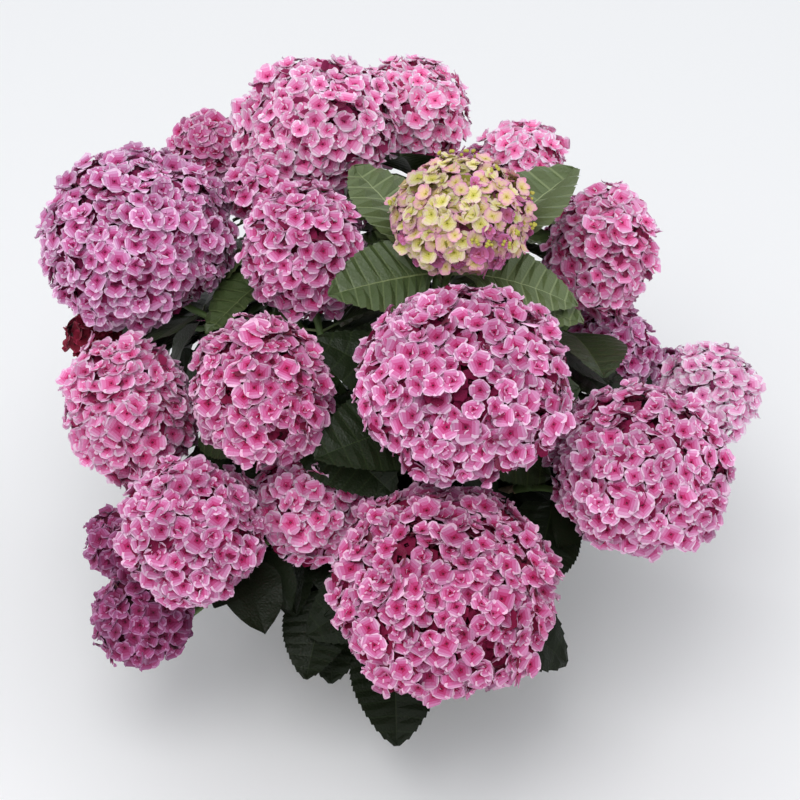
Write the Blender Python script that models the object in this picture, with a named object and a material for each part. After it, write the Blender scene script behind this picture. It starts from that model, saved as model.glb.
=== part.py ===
"""Mophead hydrangea: a low, rounded garden shrub under big pink flower heads.

A short woody stool stands on its flat cut at ground level and forks into canes.
Each cane is one tapering bough. It ends where it enters a mass: a green stem that
forks into shoots, each with crossed pairs of broad leaves and a round flower head.
"""

import math
import random
from collections import namedtuple

import bmesh
import bpy
from mathutils import Matrix, Quaternion, Vector
from mathutils.bvhtree import BVHTree

UP = Vector((0.0, 0.0, 1.0))
GOLDEN_ANGLE = math.radians(137.508)
GAP = 0.0003  # between two solids that meet face to face

# Stool: the woody foot that every cane springs from.
STOOL_NECK = 0.033
STOOL_FLARE = 0.021
STOOL_FLARE_FALL = 0.014
STOOL_HEIGHT = 0.066
STOOL_LEAN = Vector((0.005, -0.004, 0.0))
STOOL_SIDES = 20
STOOL_RINGS = 5
STOOL_RINGS_LOWER = 1.4  # power that crowds the rings towards the ground
STOOL_DOME = 0.62  # the rim of the closed top, against the neck
ROOT_RIDGES = 5
ROOT_RIDGE_DEPTH = 0.10
FORK = Vector((0.0, 0.0, 0.034))  # the point that all the stubs fan out from
STUB_START = 0.020
STUB_END = 0.066
STUB_SWELL = 1.08  # foot of a stub, against the foot of its cane
SPREADING_ROUNDS = 200  # of pushing canes apart that leave the stool too close

# Canes.
CANE_FOOT_RADIUS = 0.0078
CANE_TIP_RADIUS = 0.0052
CANE_SIDES = 6
CANE_STEPS = 6
CANE_APART = math.radians(18.5)  # least angle between two canes at the stool
CANE_LOWEST = math.radians(24)
CANE_STEEPEN = 0.72  # how far a cane's tilt from plumb is kept where it leaves the stool
CANE_SHARE = 0.50  # part of the way out to its flowers that a cane covers
CANE_ARCH = 2.1
ARC_STIFFNESS = 0.38  # of canes and shoots, against the span of the arc

# Shoots: the green stem of a mass and the laterals it forks into.
STEM_LENGTH = 0.024
STEM_RADIUS = 0.0056
SHOOT_SUNK = 0.009  # how deep a shoot is rooted in its stem
SHOOT_FOOT_RADIUS = 0.0043
SHOOT_TIP_RADIUS = 0.0036
SHOOT_SIDES = 4
SHOOT_STEPS = 4

# Flower heads.
HEAD_PEAKS = 38  # on a head of HEAD_WIDTH
HEAD_WIDTH = 0.16
HEAD_LEAST_PEAKS = 18
HEAD_UNEVEN = 0.12  # radians that a peak may be turned out of its spiral
HEAD_HEEL = 0.25  # from the middle of a head down to where its shoot ends, against its height
HEAD_LEAN = 0.9  # outward, for each metre from the middle, against one part upward
GROOVE_RADIUS = 0.88  # against the radius of the head
PEAK_DROP = 0.06  # the most that a peak stays short of that radius

# Leaves.
LEAF_LENGTH = 0.145
LEAF_LENGTHS = (0.88, 1.08)  # range, against that length
LEAF_UNEVEN = 5  # degrees that a pair may be turned out of its cross
LEAF_STATIONS = ((0.0, 0.011), (0.45, 0.31), (0.76, 0.22))  # along, half width
LEAF_FOLD = 0.16  # edge above midrib, against half the width
LEAF_THICKNESS = 0.024
LEAF_ROOM = 0.0016  # kept free all round a leaf
LEAF_SPLAY = math.radians(73)  # from the shoot
LEAF_LEVEL = 0.6  # what is left of the rise or fall of a leaf that grows from a level shoot
LEAF_SQUARE = 0.4  # how far a blade stands square to its shoot, and not level
LEAF_NUDGES = (0, 12, -12, 24, -24, 38, -38)  # degrees, tried in turn to find room
LEAF_BENDS = (1.0, 1.7, 0.4)  # times the droop, tried likewise
LEAF_SIZES = (1.0, 0.84, 0.68)
LEAF_DROOP_AT_TOP = 0.10  # fall of the tip, against the length
LEAF_DROOP_AT_GROUND = 0.62
LEAF_FIRST = 0.014  # below the underside of the flower head
LEAF_STEP = 0.034  # from the first pair to the second
LEAF_STEP_GROWTH = 1.3
LEAF_PAIRS = 4
LEAF_STAGGER = 0.0015  # between the two leaves of a pair

# One shoot: where the middle of its flower head is, how wide and how high the head
# is, the compass direction of its topmost leaf in degrees from +X towards +Y, and the
# turn from each leaf pair to the next. A width of 0 is a leafy shoot with no flower.
Shoot = namedtuple("Shoot", "x y z width height turn cross", defaults=(90,))

CANES = {
    "young": (Shoot(0.066, 0.003, 0.648, 0.160, 0.127, 35, 100),),
    "centre": (Shoot(0.065, -0.160, 0.552, 0.238, 0.184, 187, -57),),
    "front_low": (Shoot(0.045, -0.265, 0.355, 0.248, 0.212, -10),),
    "right_low": (Shoot(0.262, -0.130, 0.410, 0.212, 0.178, 75),),
    "right_high": (
        Shoot(0.230, 0.125, 0.515, 0.130, 0.176, 80),
        Shoot(0.254, 0.135, 0.374, 0.116, 0.106, 20),
    ),
    "right_back": (
        Shoot(0.365, 0.068, 0.358, 0.124, 0.120, 100),
        Shoot(0.355, 0.215, 0.250, 0.130, 0.110, 45),
    ),
    "mid_left": (
        Shoot(-0.145, -0.128, 0.512, 0.158, 0.176, 160),
        Shoot(-0.104, 0.030, 0.584, 0.142, 0.164, 150),
    ),
    "front_left": (
        Shoot(-0.225, -0.182, 0.362, 0.168, 0.166, 300),
        Shoot(-0.094, -0.125, 0.352, 0.136, 0.166, 0),
    ),
    "left_low": (
        Shoot(-0.322, -0.078, 0.250, 0.086, 0.090, 150),
        Shoot(-0.288, -0.182, 0.238, 0.120, 0.108, 20),
    ),
    "left_mid": (
        Shoot(-0.306, -0.012, 0.393, 0.156, 0.194, 120),
        Shoot(-0.366, 0.130, 0.402, 0.072, 0.060, 115),
    ),
    "left_top": (Shoot(-0.302, 0.135, 0.532, 0.234, 0.220, 300),),
    "top": (
        Shoot(-0.096, 0.245, 0.617, 0.204, 0.164, 40),
        Shoot(-0.158, 0.165, 0.578, 0.092, 0.084, 200),
    ),
    "back_top": (
        Shoot(0.012, 0.366, 0.562, 0.158, 0.144, 90),
        Shoot(0.150, 0.312, 0.527, 0.114, 0.100, 45),
    ),
    "left_back": (
        Shoot(-0.238, 0.350, 0.518, 0.108, 0.102, 120),
        Shoot(-0.350, 0.300, 0.360, 0.155, 0.130, 150),
    ),
    "back_left": (
        Shoot(-0.100, 0.445, 0.410, 0.168, 0.140, 100),
        Shoot(-0.265, 0.415, 0.270, 0.125, 0.110, 130),
    ),
    "back_right": (
        Shoot(0.095, 0.455, 0.385, 0.165, 0.140, 80),
        Shoot(0.245, 0.325, 0.395, 0.145, 0.130, 40),
    ),
    "back_low": (
        Shoot(-0.020, 0.420, 0.235, 0.125, 0.110, 90),
        Shoot(0.225, 0.400, 0.245, 0.135, 0.115, 60),
    ),
    "leafy_front": (Shoot(-0.005, -0.140, 0.205, 0.0, 0.0, 262),),
    "leafy_front_left": (Shoot(-0.080, -0.125, 0.250, 0.0, 0.0, 255),),
    "leafy_left": (Shoot(-0.205, -0.010, 0.270, 0.0, 0.0, 170),),
    "leafy_right": (Shoot(0.210, 0.020, 0.280, 0.0, 0.0, 30),),
    "leafy_back": (Shoot(0.060, 0.240, 0.300, 0.0, 0.0, 60),),
    "leafy_middle": (Shoot(-0.020, 0.060, 0.450, 0.0, 0.0, 240),),
}

# The room that the crown's leaves keep to: an oval in plan, hollow underneath.
CROWN_MIDDLE = (0.0, 0.05)
CROWN_REACH = (0.385, 0.45)
CROWN_TOP = 0.62
CROWN_FLOOR = 0.07
CROWN_FLOOR_RISE = 0.12  # from the middle of the crown to its edge

# In front the skirt of the crown rises forward, and to either side of its lowest place.
SKIRT_LOWEST_X = 0.02
SKIRT_AT_ORIGIN = -0.172
SKIRT_RISE_FORWARD = 0.93  # for each metre
SKIRT_RISE_LEFT = 1.25
SKIRT_RISE_RIGHT = 1.5


def make_material(name, colour, roughness):
    """A plain matt surface of one colour."""
    material = bpy.data.materials.new(name)
    material.use_nodes = True
    shader = material.node_tree.nodes["Principled BSDF"]
    shader.inputs["Base Color"].default_value = (*colour, 1.0)
    shader.inputs["Roughness"].default_value = roughness
    shader.inputs["Metallic"].default_value = 0.0
    return material


# ---------------------------------------------------------------- plain solids

class Solid:
    """Corners and faces of one closed shape, with a tree to test it against others."""

    def __init__(self, corners, faces, material):
        self.corners = [Vector(corner) for corner in corners]
        self.faces = faces
        self.material = material
        self.tree = BVHTree.FromPolygons(self.corners, faces)
        self.low = [min(corner[axis] for corner in self.corners) for axis in range(3)]
        self.high = [max(corner[axis] for corner in self.corners) for axis in range(3)]

    def meets(self, other):
        """Whether the surfaces of the two shapes cross."""
        for axis in range(3):
            if self.low[axis] > other.high[axis] or other.low[axis] > self.high[axis]:
                return False
        return bool(self.tree.overlap(other.tree))

    def as_object(self, name, collection):
        """The shape as a scene object, its faces turned outward."""
        mesh = bpy.data.meshes.new(name)
        mesh.from_pydata(self.corners, [], self.faces)
        shape = bmesh.new()
        shape.from_mesh(mesh)
        bmesh.ops.recalc_face_normals(shape, faces=shape.faces)
        shape.to_mesh(mesh)
        shape.free()
        mesh.materials.append(self.material)
        item = bpy.data.objects.new(name, mesh)
        collection.objects.link(item)
        return item


def bridge(count, first, second):
    """Quads between two rings of the same number of corners."""
    quads = []
    for side in range(count):
        after = (side + 1) % count
        quads.append((first + side, first + after, second + after, second + side))
    return quads


def curve(start, start_way, end, end_way, steps):
    """Points and tangents along a smooth arc that leaves and arrives the given ways."""
    reach = (end - start).length * ARC_STIFFNESS
    handles = (start, start + start_way * reach, end - end_way * reach, end)
    path = []
    for step in range(steps + 1):
        t = step / steps
        u = 1.0 - t
        weights = (u ** 3, 3 * u * u * t, 3 * u * t * t, t ** 3)
        point = sum((h * w for h, w in zip(handles, weights)), Vector())
        slopes = (3 * u * u, 6 * u * t, 3 * t * t)
        legs = [handles[i + 1] - handles[i] for i in range(3)]
        tangent = sum((leg * slope for leg, slope in zip(legs, slopes)), Vector())
        path.append((point, tangent.normalized()))
    return path


def tube(path, foot_radius, tip_radius, sides, material):
    """A closed limb along a path, tapering evenly from foot to tip."""
    corners = []
    faces = [tuple(range(sides))]
    across = path[0][1].orthogonal().normalized()
    for index, (point, tangent) in enumerate(path):
        across = (across - tangent * across.dot(tangent)).normalized()
        beside = tangent.cross(across)
        share = index / (len(path) - 1)
        radius = foot_radius + (tip_radius - foot_radius) * share
        for side in range(sides):
            angle = math.tau * side / sides
            corners.append(point + (across * math.cos(angle) + beside * math.sin(angle)) * radius)
        if index:
            faces += bridge(sides, (index - 1) * sides, index * sides)
    last = (len(path) - 1) * sides
    faces.append(tuple(range(last, last + sides)))
    return Solid(corners, faces, material)


def fuse(name, solids):
    """One solid from shapes that run into each other."""
    scrap = bpy.data.collections.new(name + "_shapes")
    bpy.context.scene.collection.children.link(scrap)
    body = solids[0].as_object(name, bpy.context.scene.collection)
    for index, solid in enumerate(solids[1:]):
        solid.as_object(f"{name}_shape_{index}", scrap)
    union = body.modifiers.new("Union", "BOOLEAN")
    union.operation = "UNION"
    union.operand_type = "COLLECTION"
    union.collection = scrap
    union.solver = "EXACT"
    union.material_mode = "TRANSFER"
    bpy.context.view_layer.update()
    evaluated = body.evaluated_get(bpy.context.evaluated_depsgraph_get())
    joined = bpy.data.meshes.new_from_object(evaluated)
    body.modifiers.clear()
    body.data = joined
    joined.name = name
    for item in list(scrap.objects):
        bpy.data.objects.remove(item)
    bpy.data.collections.remove(scrap)
    drop_scraps(joined)
    return body


def drop_scraps(mesh):
    """Keeps only the largest connected body of a mesh."""
    shape = bmesh.new()
    shape.from_mesh(mesh)
    unseen = set(shape.verts)
    bodies = []
    while unseen:
        body = {unseen.pop()}
        edge_of_search = list(body)
        while edge_of_search:
            corner = edge_of_search.pop()
            for edge in corner.link_edges:
                other = edge.other_vert(corner)
                if other in unseen:
                    unseen.discard(other)
                    body.add(other)
                    edge_of_search.append(other)
        bodies.append(body)
    bodies.sort(key=len)
    for body in bodies[:-1]:
        bmesh.ops.delete(shape, geom=list(body), context="VERTS")
    shape.to_mesh(mesh)
    shape.free()


# ---------------------------------------------------------------- stool and canes

def compass(degrees, lift=0.0):
    """A unit vector in a compass direction, raised by an angle in radians."""
    turn = math.radians(degrees)
    level = math.cos(lift)
    return Vector((math.cos(turn) * level, math.sin(turn) * level, math.sin(lift)))


def mass_foot(shoots):
    """Where the cane that carries these shoots ends and their mass begins."""
    middle = sum((Vector(shoot[:3]) for shoot in shoots), Vector()) / len(shoots)
    out = middle - FORK
    rise = 1.0 - (1.0 - CANE_SHARE) ** CANE_ARCH
    return FORK + Vector((out.x * CANE_SHARE, out.y * CANE_SHARE, out.z * rise))


def leaving_ways():
    """The direction of each cane at the stool: steeper than its mass, and spread out."""
    ways = []
    for shoots in CANES.values():
        out = mass_foot(shoots) - FORK
        level = math.hypot(out.x, out.y)
        tilt = (math.pi / 2 - math.atan2(out.z, level)) * CANE_STEEPEN
        ways.append(compass(math.degrees(math.atan2(out.y, out.x)), math.pi / 2 - tilt))
    for _ in range(SPREADING_ROUNDS):
        for first in range(len(ways)):
            for second in range(first):
                angle = ways[first].angle(ways[second])
                if angle < CANE_APART:
                    apart = (ways[first] - ways[second]).normalized()
                    push = apart * (CANE_APART - angle) / 2
                    ways[first] = (ways[first] + push).normalized()
                    ways[second] = (ways[second] - push).normalized()
        for index, way in enumerate(ways):
            if way.z < math.sin(CANE_LOWEST):
                flat = math.degrees(math.atan2(way.y, way.x))
                ways[index] = compass(flat, CANE_LOWEST)
    return ways


def stool_body(material):
    """The foot: a flared, ridged stump, flat underneath, closed by a low dome."""
    corners = []
    faces = [tuple(range(STOOL_SIDES))]
    for ring in range(STOOL_RINGS + 1):
        share = ring / STOOL_RINGS
        height = STOOL_HEIGHT * share ** STOOL_RINGS_LOWER
        flare = STOOL_FLARE * math.exp(-height / STOOL_FLARE_FALL)
        radius = STOOL_NECK + flare
        if ring == STOOL_RINGS:
            radius *= STOOL_DOME
        for side in range(STOOL_SIDES):
            angle = math.tau * side / STOOL_SIDES
            ridge = 1.0 + ROOT_RIDGE_DEPTH * math.cos(ROOT_RIDGES * angle) * flare / STOOL_FLARE
            around = Vector((math.cos(angle), math.sin(angle), 0.0)) * radius * ridge
            corners.append(around + STOOL_LEAN * share + UP * height)
        if ring:
            faces += bridge(STOOL_SIDES, (ring - 1) * STOOL_SIDES, ring * STOOL_SIDES)
    last = STOOL_RINGS * STOOL_SIDES
    faces.append(tuple(range(last, last + STOOL_SIDES)))
    return Solid(corners, faces, material)


def stub(way, material):
    """The short fork of the stool that one cane stands on."""
    path = [(FORK + way * STUB_START, way), (FORK + way * STUB_END, way)]
    return tube(path, CANE_FOOT_RADIUS * STUB_SWELL, CANE_FOOT_RADIUS, CANE_SIDES, material)


def stem_way(shoots):
    """The direction in which a cane enters its mass."""
    middle = sum((Vector(shoot[:3]) for shoot in shoots), Vector()) / len(shoots)
    return (middle - mass_foot(shoots)).normalized()


def cane(shoots, way, material):
    """One bough, from the end of its stub to the foot of its mass."""
    foot = FORK + way * (STUB_END + GAP)
    path = curve(foot, way, mass_foot(shoots), stem_way(shoots), CANE_STEPS)
    return tube(path, CANE_FOOT_RADIUS, CANE_TIP_RADIUS, CANE_SIDES, material)


# ---------------------------------------------------------------- flower heads

def head_axis(shoot):
    """A head looks up, and leans out the more the nearer it is to the edge of the shrub."""
    return (Vector((shoot.x, shoot.y, 0.0)) * HEAD_LEAN + UP).normalized()


def floret_cells(count, dice):
    """Points spread evenly on a ball, and round each one the corners of its cell."""
    ball = bmesh.new()
    for index in range(count):
        height = 1.0 - (2 * index + 1) / count
        level = math.sqrt(1.0 - height * height)
        angle = index * GOLDEN_ANGLE + dice.uniform(-HEAD_UNEVEN, HEAD_UNEVEN)
        ball.verts.new((math.cos(angle) * level, math.sin(angle) * level, height))
    bmesh.ops.convex_hull(ball, input=ball.verts)
    ball.faces.index_update()
    corners = [face.calc_center_median().normalized() for face in ball.faces]
    cells = []
    for point in ball.verts:
        across = point.co.orthogonal().normalized()
        beside = point.co.cross(across)
        around = [(corners[face.index], face.index) for face in point.link_faces]
        around.sort(key=lambda item: math.atan2(item[0].dot(beside), item[0].dot(across)))
        cells.append((point.co.copy(), [index for _, index in around]))
    ball.free()
    return corners, cells


def flower_head(shoot, dice, material):
    """A round head: a blunt peak for each small cluster of florets, with grooves between."""
    count = max(HEAD_LEAST_PEAKS, round(HEAD_PEAKS * shoot.width / HEAD_WIDTH))
    grooves, cells = floret_cells(count, dice)
    corners = [groove * GROOVE_RADIUS for groove in grooves]
    faces = []
    for middle, around in cells:
        for first, second in zip(around, around[1:] + around[:1]):
            faces.append((first, second, len(corners)))
        corners.append(middle * (1.0 - dice.uniform(0.0, PEAK_DROP)))
    turn = UP.rotation_difference(head_axis(shoot)).to_matrix().to_4x4()
    size = Matrix.Diagonal((shoot.width / 2, shoot.width / 2, shoot.height / 2, 1.0))
    place = Matrix.Translation(shoot[:3]) @ turn @ size
    return Solid([place @ corner for corner in corners], faces, material)


# ---------------------------------------------------------------- shoots and leaves

def shoot_path(shoots, shoot):
    """The way of one shoot, from the fork of its mass into the middle of its head."""
    way = stem_way(shoots)
    start = mass_foot(shoots) + way * (STEM_LENGTH - SHOOT_SUNK)
    axis = head_axis(shoot)
    end = Vector(shoot[:3]) - axis * shoot.height * HEAD_HEEL
    toward = (end - start).normalized()
    return curve(start, (way + toward).normalized(), end, (axis + toward).normalized(), SHOOT_STEPS)


def leaf_nodes(path, shoot):
    """Places down a shoot where leaf pairs spring, wider apart towards the fork."""
    nodes = []
    step = LEAF_STEP
    wanted = shoot.height * HEAD_HEEL + LEAF_FIRST
    walked = 0.0
    for (upper, way), (lower, _) in zip(path[::-1], path[-2::-1]):
        leg = (lower - upper).length
        while walked + leg >= wanted and len(nodes) < LEAF_PAIRS:
            nodes.append((upper.lerp(lower, (wanted - walked) / leg), way))
            wanted += step
            step *= LEAF_STEP_GROWTH
        walked += leg
    return nodes


def leaf(root, outward, upward, length, droop, room, material):
    """A broad pointed blade, folded along its midrib and arching over to its tip."""
    across = outward.cross(upward).normalized()
    corners = []
    for along, half in LEAF_STATIONS:
        sag = droop * along * along
        middle = root + (outward * along - upward * sag) * length
        wide = half * length + room
        rise = LEAF_FOLD * half * length + room / 2
        corners.append(middle + across * wide + upward * rise)
        corners.append(middle - across * wide + upward * rise)
        corners.append(middle - upward * (LEAF_THICKNESS * length / 2 + room))
    corners.append(root + (outward - upward * droop) * length + outward * room)
    faces = [(0, 1, 2)] + bridge(3, 0, 3) + bridge(3, 3, 6)
    faces += [(6, 7, 9), (7, 8, 9), (8, 6, 9)]
    return Solid(corners, faces, material)


def leaf_way(way, wanted, nudge):
    """The direction of a leaf: square to its shoot, as near as can be to the one wanted."""
    side = wanted - way * wanted.dot(way)
    beside = UP.cross(way)
    if wanted.dot(beside) < 0:
        beside = -beside
    side += beside * (1.0 - side.length)
    side.z *= LEAF_LEVEL
    side = (side - way * side.dot(way)).normalized()
    side.rotate(Quaternion(way, math.radians(nudge)))
    return (side * math.sin(LEAF_SPLAY) + way * math.cos(LEAF_SPLAY)).normalized()


def in_crown(corner):
    """Whether one corner of a leaf is in the room of the crown."""
    across = (corner.x - CROWN_MIDDLE[0]) / CROWN_REACH[0]
    along = (corner.y - CROWN_MIDDLE[1]) / CROWN_REACH[1]
    reach = across * across + along * along
    floor = CROWN_FLOOR + CROWN_FLOOR_RISE * reach
    aside = corner.x - SKIRT_LOWEST_X
    rise = max(SKIRT_RISE_RIGHT * aside, -SKIRT_RISE_LEFT * aside)
    skirt = SKIRT_AT_ORIGIN + rise - SKIRT_RISE_FORWARD * corner.y
    return reach < 1.0 and corner.z > max(floor, skirt)


def free_leaf(root, way, turn, length, obstacles, material):
    """The first of a few like leaves that touches nothing, or None."""
    droop = LEAF_DROOP_AT_GROUND + (LEAF_DROOP_AT_TOP - LEAF_DROOP_AT_GROUND) * root.z / CROWN_TOP
    for size in LEAF_SIZES:
        for bend in LEAF_BENDS:
            for nudge in LEAF_NUDGES:
                outward = leaf_way(way, compass(turn), nudge)
                skyward = way * LEAF_SQUARE + UP * (1.0 - LEAF_SQUARE)
                upward = (skyward - outward * skyward.dot(outward)).normalized()
                shape = (root, outward, upward, length * size, droop * bend)
                trial = leaf(*shape, LEAF_ROOM, material)
                if not all(in_crown(corner) for corner in trial.corners[3:]):
                    continue
                if not any(trial.meets(obstacle) for obstacle in obstacles):
                    return leaf(*shape, 0.0, material)
    return None


def leaf_plan():
    """Every leaf pair that is asked for, from the top of the crown down."""
    plan = []
    for name, shoots in CANES.items():
        for number, shoot in enumerate(shoots):
            dice = random.Random(f"{name} leaves {number}")
            for rank, (root, way) in enumerate(leaf_nodes(shoot_path(shoots, shoot), shoot)):
                turn = shoot.turn + shoot.cross * rank + dice.uniform(-LEAF_UNEVEN, LEAF_UNEVEN)
                length = LEAF_LENGTH * dice.uniform(*LEAF_LENGTHS)
                plan.append((name, number, root, way, turn, length))
    plan.sort(key=lambda entry: -entry[2].z)
    return plan


def build():
    """Makes every piece of the shrub."""
    for item in list(bpy.data.objects):
        bpy.data.objects.remove(item)
    bark = make_material("old_bark", (0.20, 0.14, 0.09), 0.9)
    cane_bark = make_material("cane_bark", (0.30, 0.24, 0.15), 0.85)
    green_stem = make_material("green_stem", (0.16, 0.24, 0.08), 0.6)
    leaf_green = make_material("leaf_green", (0.06, 0.13, 0.05), 0.5)
    petal_pink = make_material("petal_pink", (0.75, 0.24, 0.48), 0.6)

    ways = leaving_ways()
    canes = {}
    stems = {}
    heads = []
    for (name, shoots), way in zip(CANES.items(), ways):
        canes[name] = cane(shoots, way, cane_bark)
        entering = stem_way(shoots)
        foot = mass_foot(shoots) + entering * GAP
        stem = [(foot, entering), (foot + entering * STEM_LENGTH, entering)]
        solids = [tube(stem, CANE_TIP_RADIUS, STEM_RADIUS, CANE_SIDES, green_stem)]
        for number, shoot in enumerate(shoots):
            path = shoot_path(shoots, shoot)
            solids.append(tube(path, SHOOT_FOOT_RADIUS, SHOOT_TIP_RADIUS, SHOOT_SIDES, green_stem))
            if shoot.width:
                dice = random.Random(f"{name} head {number}")
                heads.append((name, flower_head(shoot, dice, petal_pink)))
        stems[name] = solids

    blades = []
    for name, number, root, way, turn, length in leaf_plan():
        obstacles = list(canes.values()) + [solid for _, solid in heads + blades]
        for other, solids in stems.items():
            if other == name:
                solids = [solid for index, solid in enumerate(solids) if index not in (0, number + 1)]
            obstacles += solids
        pair = []
        for half_turn, place in ((0, root), (180, root - way * LEAF_STAGGER)):
            pair.append(free_leaf(place, way, turn + half_turn, length, obstacles, leaf_green))
        blades += [(name, blade) for blade in pair if blade]

    fuse("trunk", [stool_body(bark)] + [stub(way, bark) for way in ways])
    for name in CANES:
        canes[name].as_object(f"bough_{name}", bpy.context.scene.collection)
        parts = [solid for mass, solid in heads + blades if mass == name]
        fuse(f"mass_{name}", stems[name] + parts)


build()
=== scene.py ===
import math
import random
from collections import namedtuple
from itertools import product

import bmesh
import bpy
import numpy as np
from mathutils import Matrix, Quaternion, Vector, noise
from mathutils.bvhtree import BVHTree


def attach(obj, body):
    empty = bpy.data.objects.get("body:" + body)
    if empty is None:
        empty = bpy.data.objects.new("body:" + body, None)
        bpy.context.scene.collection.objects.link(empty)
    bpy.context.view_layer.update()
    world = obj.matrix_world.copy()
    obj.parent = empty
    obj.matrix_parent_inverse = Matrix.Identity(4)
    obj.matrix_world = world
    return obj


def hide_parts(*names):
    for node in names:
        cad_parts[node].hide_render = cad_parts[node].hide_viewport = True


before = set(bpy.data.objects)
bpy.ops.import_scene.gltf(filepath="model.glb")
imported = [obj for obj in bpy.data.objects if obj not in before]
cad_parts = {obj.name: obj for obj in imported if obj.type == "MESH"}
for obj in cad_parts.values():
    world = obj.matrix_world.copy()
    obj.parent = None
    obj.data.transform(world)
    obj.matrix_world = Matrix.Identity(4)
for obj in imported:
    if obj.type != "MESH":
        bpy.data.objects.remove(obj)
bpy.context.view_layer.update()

# ------------------------------------------------------------------ studio
# The shrub is looked at from a standing gardener's height, a little over two metres
# away. It stands on a plain pale floor, under one large soft box and an even sky.

LOOK_AT = Vector((0.0, 0.0, 0.40))
CAMERA_ELEVATION = math.radians(38)
CAMERA_DISTANCE = 2.3
CAMERA_LENS = 90.8
FLOOR_SIZE = 25.0
SKY_COLOUR = (0.95, 0.97, 1.0, 1.0)
SKY_STRENGTH = 0.88
SOFT_BOX_PLACE = Vector((-0.4, -1.5, 2.8))
SOFT_BOX_SIZE = 1.4
SOFT_BOX_POWER = 30.0

sight = Vector((0.0, math.cos(CAMERA_ELEVATION), -math.sin(CAMERA_ELEVATION)))
lens = bpy.data.cameras.new("camera")
lens.lens = CAMERA_LENS
camera = bpy.data.objects.new("camera", lens)
camera.location = LOOK_AT - sight * CAMERA_DISTANCE
camera.rotation_euler = sight.to_track_quat("-Z", "Y").to_euler()
bpy.context.scene.collection.objects.link(camera)
bpy.context.scene.camera = camera
bpy.context.scene.view_settings.view_transform = "Standard"


def linear(red, green, blue):
    """A colour as a shader takes it, from its 0 to 255 screen values."""
    return tuple(((part / 255 + 0.055) / 1.055) ** 2.4 for part in (red, green, blue))


def plain_material(name, colour, roughness):
    """A matt surface of one colour."""
    made = bpy.data.materials.new(name)
    made.use_nodes = True
    shader = made.node_tree.nodes["Principled BSDF"]
    shader.inputs["Base Color"].default_value = (*colour, 1.0)
    shader.inputs["Roughness"].default_value = roughness
    return made


def shown(name, mesh, materials):
    """The piece that a mesh makes, with its materials."""
    for material in materials:
        mesh.materials.append(material)
    piece = bpy.data.objects.new(name, mesh)
    bpy.context.scene.collection.objects.link(piece)
    return piece


def finished(name, shape, materials):
    """A smooth piece made of a bmesh, which is used up."""
    for face in shape.faces:
        face.smooth = True
    mesh = bpy.data.meshes.new(name)
    shape.to_mesh(mesh)
    shape.free()
    return shown(name, mesh, materials)


ground = bmesh.new()
bmesh.ops.create_grid(ground, x_segments=1, y_segments=1, size=FLOOR_SIZE)
white = plain_material("floor_white", linear(248, 248, 248), roughness=0.8)
floor = finished("floor", ground, [white])

sky = bpy.data.worlds.new("sky")
sky.use_nodes = True
sky.node_tree.nodes["Background"].inputs["Color"].default_value = SKY_COLOUR
sky.node_tree.nodes["Background"].inputs["Strength"].default_value = SKY_STRENGTH
bpy.context.scene.world = sky

soft_box = bpy.data.lights.new("soft_box", "AREA")
soft_box.size = SOFT_BOX_SIZE
soft_box.energy = SOFT_BOX_POWER
lamp = bpy.data.objects.new("soft_box", soft_box)
lamp.location = SOFT_BOX_PLACE
lamp.rotation_euler = (LOOK_AT - SOFT_BOX_PLACE).to_track_quat("-Z", "Y").to_euler()
bpy.context.scene.collection.objects.link(lamp)

# ------------------------------------------------------------------ stool
# The woody foot of the shrub: a short flared stump of old wood, grey-brown and
# furrowed, cut flat at the ground. It forks into one stub for every cane.

UP = Vector((0.0, 0.0, 1.0))
STOOL_NECK = 0.033
STOOL_FLARE = 0.021
STOOL_FLARE_FALL = 0.014
STOOL_HEIGHT = 0.066
STOOL_LEAN = Vector((0.005, -0.004, 0.0))
STOOL_DOME = 0.62
STOOL_SIDES = 40
STOOL_RINGS = 9
STOOL_RINGS_LOW = 1.4
ROOT_RIDGES = 5
ROOT_RIDGE_DEPTH = 0.10
FORK = Vector((0.0, 0.0, 0.034))
STUB_START = 0.020
STUB_END = 0.066
STUB_SIDES = 14
STUB_SWELLS = (1.08, 1.02)
BARK_VOXEL = 0.0016
BARK_FURROW = 0.0016
FURROW_ACROSS = 150.0
FURROW_ALONG = 38.0
FURROW_NOISE = (0.8, 2.0, 4)
GAP = 0.0003
CANE_FOOT_RADIUS = 0.0078
CANE_TIP_RADIUS = 0.0052
CANE_APART = math.radians(18.5)
CANE_LOWEST = math.radians(24)
CANE_STEEPEN = 0.72
CANE_SHARE = 0.50
CANE_ARCH = 2.1
SPREADING_ROUNDS = 200

# One shoot: where the middle of its flower head is, how wide and how high the head
# is, the compass direction of its topmost leaf in degrees, the turn from each leaf
# pair to the next, and the hue of the head. A width of 0 is a leafy shoot.
Shoot = namedtuple("Shoot", "x y z width height turn cross hue", defaults=(90, "rose"))

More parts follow.
